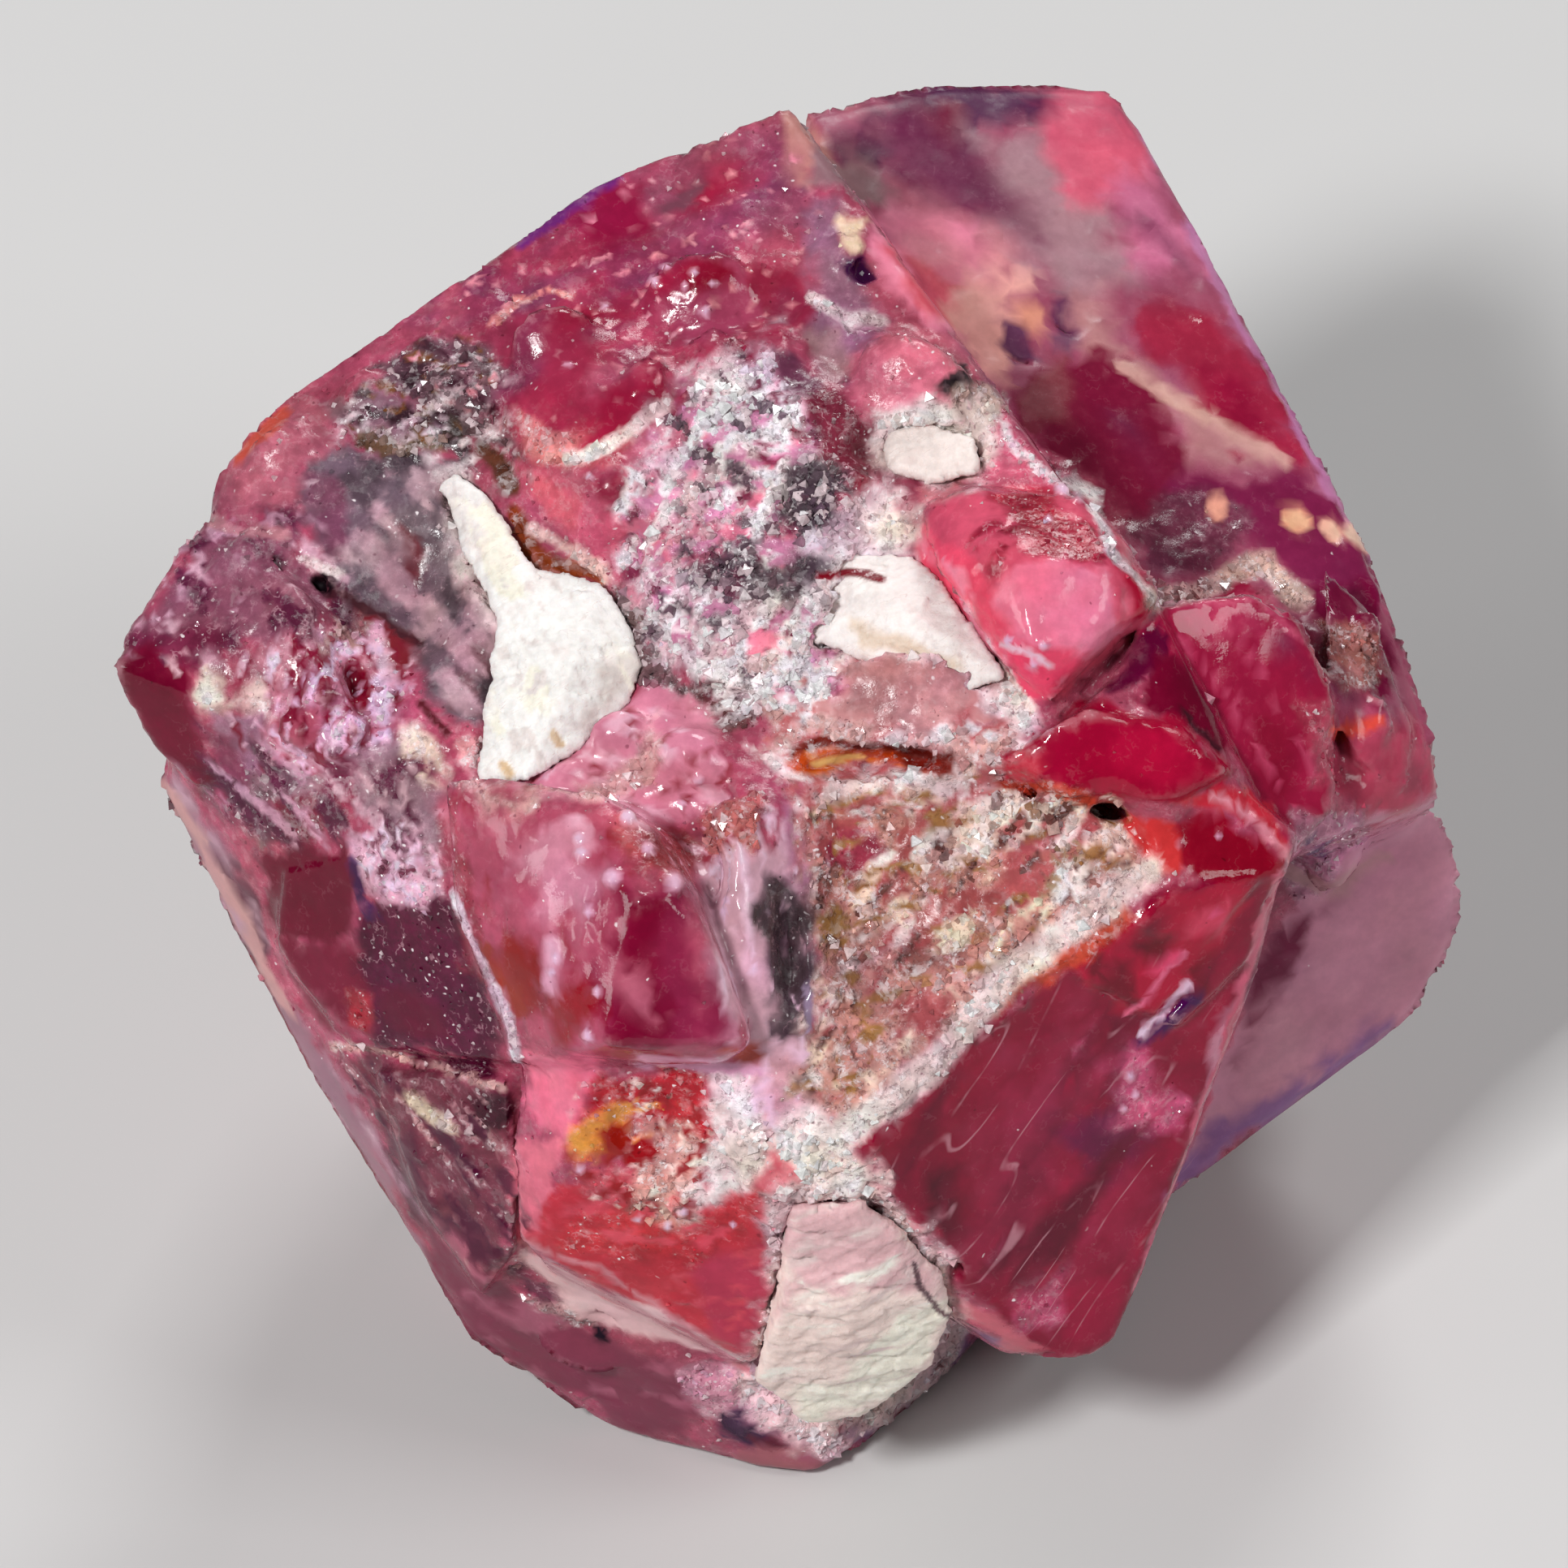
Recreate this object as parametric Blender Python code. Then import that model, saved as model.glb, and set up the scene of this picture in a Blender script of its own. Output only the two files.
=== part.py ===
"""A cluster of intergrown spinel crystals, with remnants of its white calcite.

The cluster is described on its broad side, in millimetres: `across` runs to
the right, `up` runs up the side and `out` comes out of it, from a centre inside
the stone.  At the end the broad side is leant back by LEAN, so that the
stone rests on the flat face that truncates its lower back edge.
"""
import math
import random

import bmesh
import bpy
from mathutils import Euler, Matrix, Vector
from mathutils.bvhtree import BVHTree

MM = 0.001
LEAN = math.radians(45.0)     # the broad side leans back this far from upright
BASE_DEPTH = 7.0              # mm, from the stone's centre to the face it rests on
CENTRE_ACROSS = 0.1           # mm, the middle of the stone's width
CENTRE_BACK = 1.6             # mm, the middle of its depth over the floor
GAP = 0.05                    # mm, between the calcite and the crystal around it
FAR = 30.0                    # mm, well outside the stone
FLAT_WITHIN = math.radians(4.0)   # neighbours this close in slope are one crystal face
LOOSELY = 0.7                 # cosine of the widest turn from the direction asked for
LEDGE_TAPER = 0.97            # a growth layer's top against its foot
OFF_CENTRE = 0.6              # how far a growth layer sits towards one corner of its face
SHALLOW, DEEP, DEEPEST = 1.2, 2.5, 3.5    # mm, how far a crystal's root reaches into the stone
STRAIGHT, NARROWER, POINTED = 1.0, 0.9, 0.5   # the width of a root against its crystal
LAYERED_FROM = 1.8            # mm, the reach from which an octahedron shows growth layers
LAYER_SHARE = 0.8             # of an octahedron's face that a growth layer covers
LAYER_RISE = 0.045            # of an octahedron's reach
CORNER_TRIM = 0.05            # of an octahedron's reach, cut off its edges
COARSE_BELOW = 0.5            # mm, the half length below which a knob has few faces
BUBBLE_SINK = 0.2             # of a bubble's radius that it sits below the face
CRUST_SINK = 0.4              # of a crust crystal's reach that it sits below the face
SLIVER = 0.002                # mm, points closer than this are one
SAME_PLANE = math.radians(0.2)
SEED = 4563
SPINEL_LOOKS = ((0.45, 0.06, 0.12), 0.2, 0.3)    # colour, roughness, clearness
CALCITE_LOOKS = ((0.85, 0.8, 0.74), 0.6, 0.0)

OUTWARD = Vector((0.0, 0.0, 1.0))

GROWTH_LAYERS = {
    # crystal: the way the face looks, the share of it that the layer covers, its rise in mm
    "main crystal": [((0.0, 0.4, 0.9), 0.86, 0.12)],
    "back crystal": [((-0.5, 0.6, -0.6), 0.8, 0.16), ((0.6, 0.5, -0.6), 0.8, 0.16),
                     ((-0.7, -0.4, -0.5), 0.8, 0.14), ((0.7, -0.4, -0.5), 0.8, 0.14)],
}


# ---------------------------------------------------------------- tools

def clear_scene():
    for thing in list(bpy.data.objects):
        bpy.data.objects.remove(thing, do_unlink=True)


def add_object(name, shape):
    """A bmesh as an object of the scene, in triangles, because a Boolean needs flat faces."""
    mesh = bpy.data.meshes.new(name)
    bmesh.ops.triangulate(shape, faces=shape.faces)
    bmesh.ops.recalc_face_normals(shape, faces=shape.faces)
    shape.to_mesh(mesh)
    shape.free()
    thing = bpy.data.objects.new(name, mesh)
    bpy.context.scene.collection.objects.link(thing)
    return thing


def convex_shape(points):
    """The convex body around some points, with its flat faces whole."""
    shape = bmesh.new()
    for point in points:
        shape.verts.new(point)
    bmesh.ops.convex_hull(shape, input=shape.verts)
    inside = [vert for vert in shape.verts if not vert.link_faces]
    bmesh.ops.delete(shape, geom=inside, context='VERTS')
    bmesh.ops.dissolve_limit(shape, angle_limit=FLAT_WITHIN, verts=shape.verts, edges=shape.edges)
    bmesh.ops.recalc_face_normals(shape, faces=shape.faces)
    return shape


def face_towards(shape, direction):
    """The large crystal face that looks most nearly in a direction."""
    direction = Vector(direction).normalized()

    def fitness(face):
        return max(0.0, face.normal.dot(direction) - LOOSELY) * face.calc_area()

    return max(shape.faces, key=fitness)


def raise_layer(shape, face, share, rise):
    """A growth layer: a ledge all round, widest at one corner, and the rest `rise` higher."""
    normal = face.normal.copy()
    for shrink, lift, towards in ((share, 0.0, OFF_CENTRE), (LEDGE_TAPER, rise, 0.0)):
        made = bmesh.ops.extrude_discrete_faces(shape, faces=[face])
        face = made['faces'][0]
        middle = face.calc_center_median().lerp(face.verts[0].co, towards)
        for vert in face.verts:
            vert.co = middle + shrink * (vert.co - middle) + lift * normal


def rooted(corners, depth, taper=NARROWER):
    """The corners of a crystal and of its root, `depth` further into the stone."""
    corners = [Vector(corner) for corner in corners]
    middle = sum(corners, Vector()) / len(corners)
    roots = [middle + taper * (corner - middle) - depth * OUTWARD for corner in corners]
    return corners + roots


def crystal(name, points):
    """A crystal given by its corners, with its growth layers."""
    shape = convex_shape(points)
    for direction, share, rise in GROWTH_LAYERS.get(name, ()):
        raise_layer(shape, face_towards(shape, direction), share, rise)
    return add_object(name, shape)


def octahedron(name, centre, reach, turn, trim=0.0, layers=0.0):
    """An octahedral crystal with its corners `reach` from its centre."""
    turned = Euler([math.radians(angle) for angle in turn]).to_matrix()
    corners = []
    for axis in turned.transposed():
        corners += [Vector(centre) + reach * axis, Vector(centre) - reach * axis]
    shape = convex_shape(corners)
    if layers:
        for face in list(shape.faces):
            raise_layer(shape, face, LAYER_SHARE, layers)
    elif trim:
        bmesh.ops.bevel(shape, geom=shape.edges, offset=trim, segments=1, affect='EDGES')
    return add_object(name, shape)


def ellipsoid(name, centre, radii, turn=0.0, detail=2):
    """A rounded lump, or the tool for a rounded hollow, turned in the broad side."""
    shape = bmesh.new()
    bmesh.ops.create_icosphere(shape, subdivisions=detail, radius=1.0)
    place = (Matrix.Translation(centre) @ Matrix.Rotation(math.radians(turn), 4, 'Z')
             @ Matrix.Diagonal((*radii, 1.0)))
    shape.transform(place)
    return add_object(name, shape)


def combine(body, tools, operation):
    """Join the tools to the body, or cut them out of it, in one step, and drop them."""
    group = bpy.data.collections.new("tools")
    bpy.context.scene.collection.children.link(group)
    for tool in tools:
        bpy.context.scene.collection.objects.unlink(tool)
        group.objects.link(tool)
        tool.hide_render = True
        tool.display_type = 'WIRE'
    step = body.modifiers.new("combine", 'BOOLEAN')
    step.operation = operation
    step.operand_type = 'COLLECTION'
    step.collection = group
    bpy.context.view_layer.update()
    graph = bpy.context.evaluated_depsgraph_get()
    result = bpy.data.meshes.new_from_object(body.evaluated_get(graph))
    body.modifiers.clear()
    body.data = result
    clean(body)
    for tool in tools:
        bpy.data.objects.remove(tool, do_unlink=True)
    bpy.data.collections.remove(group)


def clean(body):
    """Merge the points that a Boolean leaves too close, and keep flat triangles only."""
    shape = bmesh.new()
    shape.from_mesh(body.data)
    bmesh.ops.remove_doubles(shape, verts=shape.verts, dist=SLIVER)
    bmesh.ops.dissolve_limit(shape, angle_limit=SAME_PLANE, verts=shape.verts,
                             edges=shape.edges)
    bmesh.ops.triangulate(shape, faces=shape.faces)
    shape.to_mesh(body.data)
    shape.free()


def neighbours(face):
    """The faces across this one's edges, except where more than two meet."""
    return [other for side in face.edges if len(side.link_faces) == 2
            for other in side.link_faces if other is not face]


def islands(shape):
    """The separate bodies of a shape, each as a list of its faces."""
    unseen = set(shape.faces)
    found = []
    while unseen:
        seed = unseen.pop()
        island, edge_of_search = [seed], [seed]
        while edge_of_search:
            face = edge_of_search.pop()
            for neighbour in neighbours(face):
                if neighbour in unseen:
                    unseen.discard(neighbour)
                    island.append(neighbour)
                    edge_of_search.append(neighbour)
        found.append(island)
    return found


def drop_crumbs(body):
    """Remove the crumbs that a hollow cuts free, so that one body is left."""
    shape = bmesh.new()
    shape.from_mesh(body.data)
    bodies = sorted(islands(shape), key=len)
    for crumb in bodies[:-1]:
        bmesh.ops.delete(shape, geom=crumb, context='FACES')
    shape.to_mesh(body.data)
    shape.free()


def surface_tree(body):
    shape = bmesh.new()
    shape.from_mesh(body.data)
    tree = BVHTree.FromBMesh(shape)
    shape.free()
    return tree


def surface_point(tree, across, up):
    """The point of the broad side's surface at this place."""
    hit = tree.ray_cast(Vector((across, up, FAR)), -OUTWARD)[0]
    return hit


# ---------------------------------------------------------------- crystals

def main_crystal():
    """The upper left crystal, whose broad face carries most of the others."""
    rim = [(-6.2, 3.5, 0.6), (-5.65, 4.1, 0.4), (-4.2, 4.9, 0.2), (-2.9, 6.05, -0.1),
           (-2.05, 6.6, -0.25), (-0.5, 7.2, -0.35), (0.1, 7.5, -0.45)]
    right_edge = [(0.55, 5.8, 0.4), (1.3, 5.05, 0.85), (2.45, 4.25, 1.4), (3.1, 3.4, 1.9),
                  (4.0, 2.1, 2.6)]
    middle = [(2.6, 0.3, 3.25), (-0.5, -0.3, 3.1), (-3.4, -0.9, 2.95)]
    lower_face = [(-6.35, 0.2, 1.0), (-4.85, -2.85, 0.15), (-3.9, -4.65, -0.3),
                  (-2.9, -3.2, 1.75), (-2.9, -5.1, 0.3)]
    lower_rim = [(-6.9, -0.1, -0.4), (-5.33, -3.1, -1.1), (-4.37, -4.68, -1.5),
                 (-3.42, -6.28, -2.0), (-1.98, -7.25, -2.6), (-0.25, -7.7, -2.15),
                 (0.45, -7.78, -2.0), (1.35, -7.12, -2.7), (2.4, -6.2, -3.6)]
    back = [(-6.0, 2.4, -1.4), (-3.2, 5.0, -2.8), (0.6, 6.8, -3.4), (3.4, 2.0, -3.0)]
    return crystal("main crystal", rim + right_edge + middle + lower_face + lower_rim + back)


def left_tip():
    """The crystal that makes the stone's left corner."""
    points = [(-7.4, 1.25, 1.1), (-7.3, 1.55, 0.9), (-6.75, 2.3, 0.9), (-6.35, 2.95, 0.8),
              (-5.0, 1.9, 2.1), (-4.6, 0.2, 2.3), (-6.55, -0.1, 0.7), (-7.1, 0.5, 0.7),
              (-6.2, 1.2, -2.2), (-4.6, 1.0, -1.0)]
    return crystal("left tip", points)


def right_crystal():
    """The deeper crystal behind the upper right edge."""
    face = [(0.25, 7.45, -2.6), (0.9, 7.57, -3.0), (1.6, 7.76, -3.4), (3.0, 7.8, -4.0),
            (3.68, 7.76, -4.2), (3.92, 7.5, -4.1), (4.85, 5.5, -2.9), (5.4, 4.5, -2.4), (6.0, 3.5, -1.8),
            (6.5, 2.7, -1.4), (6.7, 2.0, -0.9), (7.25, 0.5, -0.1), (7.35, -0.25, -0.3),
            (5.6, -0.8, 1.5), (3.8, -0.6, 2.0), (2.0, 5.0, -1.6)]
    back = [(1.6, 6.6, -5.0), (3.4, 6.6, -5.6), (5.4, 3.8, -5.0), (6.6, 1.0, -3.6),
            (6.6, -1.0, -4.0), (0.0, 2.0, -4.0)]
    return crystal("right crystal", face + back)


def pale_crystal():
    """The smooth pale crystal low on the right, well behind the others."""
    rim = [(7.35, -0.3, -1.5), (7.55, -0.75, -1.9), (7.6, -1.35, -2.4), (7.52, -1.9, -2.7),
           (7.1, -2.62, -3.0), (4.8, -4.27, -3.2), (4.35, -4.65, -3.4)]
    front = [(5.2, -0.8, -1.0), (4.2, -3.6, -2.2), (2.4, -6.1, -3.0)]
    back = [(6.9, -1.5, -4.6), (5.6, -3.0, -5.6), (3.6, -4.8, -5.0), (3.0, -1.0, -5.0)]
    return crystal("pale crystal", rim + front + back)


def back_crystal():
    """The stone's back: the far corner and the face that it rests on."""
    far_corner = [(-0.6, 0.8, -8.7), (0.4, 0.4, -8.8)]
    upper = [(1.6, 6.8, -4.6), (3.3, 7.1, -4.8), (-3.0, 4.6, -2.8)]
    right = [(6.8, 0.8, -3.0), (7.0, -1.2, -4.2)]
    left = [(-6.0, 2.2, -1.2), (-6.3, 0.2, -1.4)]
    resting = [(-1.8, -7.1, -2.9), (0.1, -7.75, -2.3), (2.3, -6.2, -3.8), (4.1, -4.3, -5.8),
               (3.2, -2.6, -7.7), (-2.6, -2.6, -7.6), (-4.0, -4.2, -5.8), (-3.1, -6.1, -4.0)]
    return crystal("back crystal", far_corner + upper + right + left + resting)


def crimson_crystal():
    """The large crimson crystal low on the right of the broad side."""
    ridge = [(0.75, -4.0, 3.2), (4.15, -1.1, 2.9)]
    upper_edge = [(0.3, -0.1, 2.8), (2.9, -0.2, 3.15)]
    right_edge = [(5.6, -0.9, 2.13), (5.3, -2.1, 1.58), (4.45, -4.4, 0.68), (3.9, -5.8, 0.16),
                  (3.7, -6.25, 0.0)]
    foot = [(3.45, -6.42, 0.05), (3.0, -6.43, 0.33), (2.2, -6.2, -0.3)]
    bevel = [(1.05, -4.5, 2.35), (1.5, -5.3, 1.5), (1.85, -5.9, 0.85), (2.5, -6.38, 0.1)]
    back = [(5.3, -1.4, -2.4), (4.3, -4.4, -3.0), (3.5, -6.0, -3.0), (1.3, -5.6, -1.0),
            (0.7, -2.0, -1.0), (0.6, -4.6, 0.6)]
    return crystal("crimson crystal", ridge + upper_edge + right_edge + foot + bevel + back)


def crimson_steps():
    """The stepped facets at the upper end of the crimson crystal's face."""
    lower = [(3.2, -2.15, 2.98), (4.3, -1.15, 2.95), (5.5, -1.0, 2.3), (5.2, -2.0, 1.85),
             (4.4, -2.75, 1.9)]
    upper = [(3.9, -1.65, 3.0), (4.35, -1.15, 3.02), (5.35, -1.05, 2.5), (4.7, -1.85, 2.3)]
    return [crystal("lower step", rooted(lower, SHALLOW)),
            crystal("upper step", rooted(upper, SHALLOW))]


def orange_crystal():
    """The small red-orange octahedron at the foot of the broad side."""
    top = [(-2.35, -3.2, 3.0), (-0.55, -3.2, 3.2)]
    face = [(-2.9, -5.15, 1.3), (-2.4, -4.4, 2.4), (0.2, -4.85, 2.3), (-0.25, -6.5, 0.5)]
    left = [(-2.95, -4.0, 1.9), (-2.85, -3.1, 2.2)]
    back = [(-2.4, -5.6, -0.6), (-0.5, -6.5, -0.9), (0.2, -5.0, -0.5), (-1.0, -3.0, 0.5)]
    return crystal("orange crystal", top + face + left + back)


def rose_crystal():
    """The glossy rose crystal, which stands nearest of all."""
    top = [(-3.7, 0.0, 3.1), (-3.2, 0.05, 3.4), (-2.0, -0.15, 4.0), (-1.4, -0.55, 4.3)]
    right = [(-0.9, -1.25, 4.4), (-0.25, -2.95, 4.0), (-0.6, -3.15, 3.8)]
    left = [(-3.6, -1.3, 2.9), (-2.95, -3.15, 2.7)]
    facet = [(-1.55, -1.3, 4.85), (-0.95, -1.3, 4.7), (-0.35, -2.9, 4.3), (-1.9, -2.95, 4.5)]
    back = [(-3.2, -0.6, 1.2), (-1.0, -0.6, 1.5), (-1.0, -3.0, 1.5), (-2.8, -3.0, 1.2)]
    return crystal("rose crystal", top + right + left + facet + back)


def coral_crystal():
    """The bright coral crystal that stands out above the middle."""
    rim = [(1.5, 3.0, 2.3), (2.15, 3.25, 2.4), (3.4, 3.1, 2.5), (3.8, 2.7, 2.6),
           (4.2, 1.95, 2.8), (3.0, 0.83, 3.2), (2.5, 1.2, 3.2), (1.75, 2.3, 2.8)]
    facet = [(2.55, 2.45, 3.5), (3.65, 2.35, 3.3), (3.55, 1.6, 3.5), (2.8, 1.45, 3.7)]
    return crystal("coral crystal", rooted(rim, DEEP) + facet)


def ruby_plate():
    """The flat ruby plate at the right of the broad side."""
    rim = [(4.25, 1.95, 2.4), (5.2, 2.05, 2.0), (5.75, 1.75, 1.75), (6.15, 0.9, 1.5),
           (6.15, -0.35, 1.45), (5.7, -0.8, 1.7), (4.85, 0.0, 2.3), (3.85, 0.85, 2.75)]
    return crystal("ruby plate", rooted(rim, DEEP))


def dark_facet():
    """The dark face that slopes from the slab and the coral crystal to the plate."""
    rim = [(3.4, 0.85, 3.25), (4.2, 1.85, 2.6), (4.35, 1.6, 2.6), (4.75, 0.85, 2.5),
           (5.3, -0.2, 2.25), (5.0, 0.05, 2.7), (4.4, 0.55, 3.05)]
    return crystal("dark facet", rooted(rim, SHALLOW, STRAIGHT))


def ruby_slab():
    """The deep red slab below the coral crystal."""
    rim = [(2.4, 0.2, 3.45), (3.35, 0.8, 3.5), (4.4, 0.6, 3.2), (5.0, 0.1, 2.9),
           (4.3, -0.3, 3.15), (3.05, -0.2, 3.4)]
    return crystal("ruby slab", rooted(rim, DEEP, STRAIGHT))


def ruby_wedge():
    """The bright red wedge between the slab and the crimson crystal."""
    rim = [(3.9, -0.25, 3.0), (5.0, 0.0, 2.7), (5.75, -0.6, 2.3), (5.6, -1.1, 2.3),
           (4.3, -1.15, 2.95)]
    return crystal("ruby wedge", rooted(rim, DEEP, STRAIGHT))


def middle_crystal():
    """The silvery body that joins the rose crystal to the crimson one."""
    rim = [(-0.5, 0.1, 3.2), (0.45, 0.1, 3.0), (0.7, -1.3, 2.7), (0.6, -3.1, 3.0),
           (1.1, -4.1, 3.05), (0.9, -4.8, 2.4), (0.1, -5.1, 2.2), (-0.4, -4.7, 2.6),
           (-0.75, -3.2, 3.2), (-0.2, -2.8, 3.55), (-0.35, -1.7, 4.0), (-0.6, -0.9, 4.1)]
    return crystal("middle crystal", rooted(rim, DEEPEST, STRAIGHT))


def plum_crystal():
    """The dark plum facet left of the rose crystal, over the lower left face."""
    rim = [(-4.7, -0.85, 1.88), (-3.6, -1.3, 2.7), (-2.95, -3.15, 2.05), (-4.75, -2.95, 0.55),
           (-5.6, -1.9, 0.5), (-5.5, -1.05, 1.05)]
    return crystal("plum crystal", rooted(rim, SHALLOW, STRAIGHT))


def dusky_crystal():
    """The rough brownish facet below the plum one."""
    rim = [(-4.5, -3.2, 0.65), (-2.95, -3.3, 1.95), (-2.9, -5.2, 0.75), (-3.3, -5.75, -0.1),
           (-4.0, -4.7, -0.1)]
    return crystal("dusky crystal", rooted(rim, SHALLOW, STRAIGHT))


def raspberry_crystal():
    """The smooth rounded block high on the main crystal's face."""
    rim = [(-3.05, 4.85, 0.6), (-2.35, 5.3, 0.45), (-1.45, 5.05, 0.85), (-1.15, 4.3, 1.4),
           (-1.4, 2.9, 2.0), (-2.15, 2.45, 1.9), (-2.8, 3.1, 1.5), (-3.05, 4.0, 1.1)]
    top = [(-2.4, 4.5, 1.3), (-1.8, 4.3, 1.5), (-1.9, 3.4, 1.95), (-2.4, 3.5, 1.75)]
    return crystal("raspberry crystal", rooted(rim, SHALLOW, STRAIGHT) + top)


def granular_mound():
    """The raised middle of the main crystal's face, which small crystals cover."""
    rim = [(-1.25, 4.75, 1.0), (0.0, 5.05, 1.1), (0.75, 4.3, 1.5), (0.9, 2.9, 2.1),
           (0.45, 1.8, 2.6), (0.0, 0.9, 2.95), (-1.0, 1.1, 2.8), (-1.45, 2.0, 2.3),
           (-1.5, 3.6, 1.5)]
    top = [(-0.8, 4.0, 1.75), (0.2, 4.0, 1.8), (0.3, 2.6, 2.45), (-0.7, 2.0, 2.65)]
    return crystal("granular mound", rooted(rim, SHALLOW, STRAIGHT) + top)


def upper_edge_crystals():
    """The blocky crystals along the upper left rim and behind the right edge."""
    rim_block = [(-4.7, 4.35, 0.55), (-3.2, 5.5, 0.25), (-2.6, 5.0, 0.65), (-3.3, 3.9, 1.15),
                 (-4.4, 3.5, 1.05)]
    corner_block = [(-6.1, 3.2, 0.85), (-5.5, 4.0, 0.6), (-4.8, 4.2, 0.6), (-4.9, 3.3, 1.05),
                    (-5.5, 2.4, 1.35)]
    pink_block = [(0.8, 5.0, 1.1), (1.35, 5.0, 1.15), (2.1, 4.35, 1.5), (2.1, 3.9, 1.7),
                  (1.2, 3.9, 1.75), (0.8, 4.3, 1.5)]
    shelf = [(2.2, 4.7, 0.2), (3.4, 3.3, 1.0), (4.6, 2.1, 1.2), (5.0, 2.4, 0.6),
             (3.9, 4.1, 0.0), (2.9, 4.9, -0.5)]
    grey_shelf = [(0.3, 6.4, 0.1), (0.9, 6.5, -0.6), (1.5, 5.6, -0.4), (1.4, 5.0, 0.5),
                  (0.7, 5.2, 0.8)]
    right_rim = [(6.0, 2.4, -0.1), (6.55, 1.9, -0.3), (7.05, 0.5, 0.2), (6.95, -0.2, 0.4),
                 (6.3, 0.2, 1.0), (6.0, 1.5, 0.8)]
    blocks = (rim_block, corner_block, pink_block, shelf, grey_shelf, right_rim)
    return [crystal("edge block", rooted(block, SHALLOW, POINTED)) for block in blocks]


BACK_CRYSTALS = [
    # centre, reach, turn about the three axes in degrees
    ((-2.5, 2.4, -3.5), 3.0, (10, 25, 20)),
    ((3.5, 2.4, -4.9), 2.8, (35, 10, 5)),
    ((0.7, 4.3, -4.6), 2.1, (5, 40, 30)),
    ((-2.0, -0.8, -6.2), 2.2, (20, 5, 50)),
    ((4.2, -1.5, -5.4), 2.2, (45, 20, 10)),
    ((-4.2, -0.8, -3.0), 2.0, (0, 30, 40)),
    ((0.9, 1.2, -7.6), 1.5, (30, 30, 0)),
    ((5.5, 1.1, -3.3), 1.6, (15, 50, 25)),
    ((-1.2, 5.2, -3.0), 1.5, (40, 0, 35)),
    ((-4.4, 2.8, -1.9), 1.3, (25, 15, 0)),
    ((2.2, 5.6, -5.0), 1.1, (10, 0, 15)),
    ((-1.1, 2.6, -6.4), 1.2, (50, 20, 10)),
    ((2.6, 0.6, -7.6), 1.0, (0, 45, 20)),
]


def back_crystals():
    """Smaller octahedra grown into the back and the sides."""
    made = []
    for number, (centre, reach, turn) in enumerate(BACK_CRYSTALS):
        layers = LAYER_RISE * reach if reach > LAYERED_FROM else 0.0
        made.append(octahedron("back octahedron %d" % number, centre, reach, turn,
                               trim=CORNER_TRIM * reach, layers=layers))
    return made


# ---------------------------------------------------------------- small forms

KNOBS = [
    # across, up, half length, half width, height over the side, turn
    (-0.85, 5.3, 0.68, 0.6, 0.24, 20), (-2.5, 4.8, 0.55, 0.48, 0.16, 30),
    (-1.85, 3.25, 0.38, 0.3, 0.2, 0), (-1.5, 4.35, 0.42, 0.3, 0.2, 60),
    (6.15, -0.85, 0.5, 0.38, 0.4, 70), (1.5, 4.45, 0.7, 0.5, 0.32, -25),
    (0.7, 5.75, 0.45, 0.35, 0.24, 30), (0.4, 4.95, 0.4, 0.3, 0.22, 80),
    (-1.8, 0.5, 0.45, 0.35, 0.3, 10), (-0.9, 0.2, 0.55, 0.35, 0.35, -30),
    (-0.55, -0.5, 0.4, 0.3, 0.3, 50), (-2.4, 0.05, 0.35, 0.25, 0.25, 0),
    (1.55, 1.0, 0.95, 0.45, 0.16, -5), (0.75, 0.85, 0.5, 0.35, 0.2, 20),
    (-5.55, 3.6, 0.45, 0.35, 0.2, 50), (-5.9, 2.5, 0.42, 0.3, 0.18, 70),
    (-4.6, 4.3, 0.42, 0.28, 0.2, 35), (-3.6, 4.35, 0.4, 0.3, 0.2, 20),
    (3.65, 3.9, 0.8, 0.6, 0.3, -30), (6.5, 1.6, 0.35, 0.22, 0.2, 80),
    (6.6, 0.6, 0.4, 0.25, 0.2, 75), (-0.7, -6.75, 0.28, 0.2, 0.12, 10),
    (-0.35, -6.6, 0.22, 0.16, 0.14, 0), (-2.2, -6.3, 0.55, 0.3, 0.12, -20),
]

BUBBLES = [
    # across, up, radius: the knobbly patch on the left, the clear one below it, the top dome's
    (-5.55, 1.45, 0.2), (-5.25, 1.6, 0.17), (-4.95, 1.45, 0.24), (-5.5, 1.1, 0.19),
    (-5.05, 0.95, 0.27), (-4.5, 1.45, 0.2), (-4.4, 0.95, 0.2), (-5.3, 0.55, 0.3),
    (-4.75, 0.55, 0.23), (-5.55, 0.25, 0.18), (-5.9, 1.7, 0.18),
    (-4.55, -0.9, 0.17), (-4.3, -0.75, 0.18), (-4.05, -0.8, 0.17), (-3.85, -1.05, 0.16),
    (-4.4, -1.15, 0.17), (-4.15, -1.1, 0.19), (-4.0, -1.35, 0.15),
    (-1.35, 5.38, 0.11), (-1.05, 5.27, 0.1), (-0.74, 5.42, 0.12), (-0.84, 5.1, 0.13),
    (-0.62, 4.98, 0.12),
]

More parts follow.
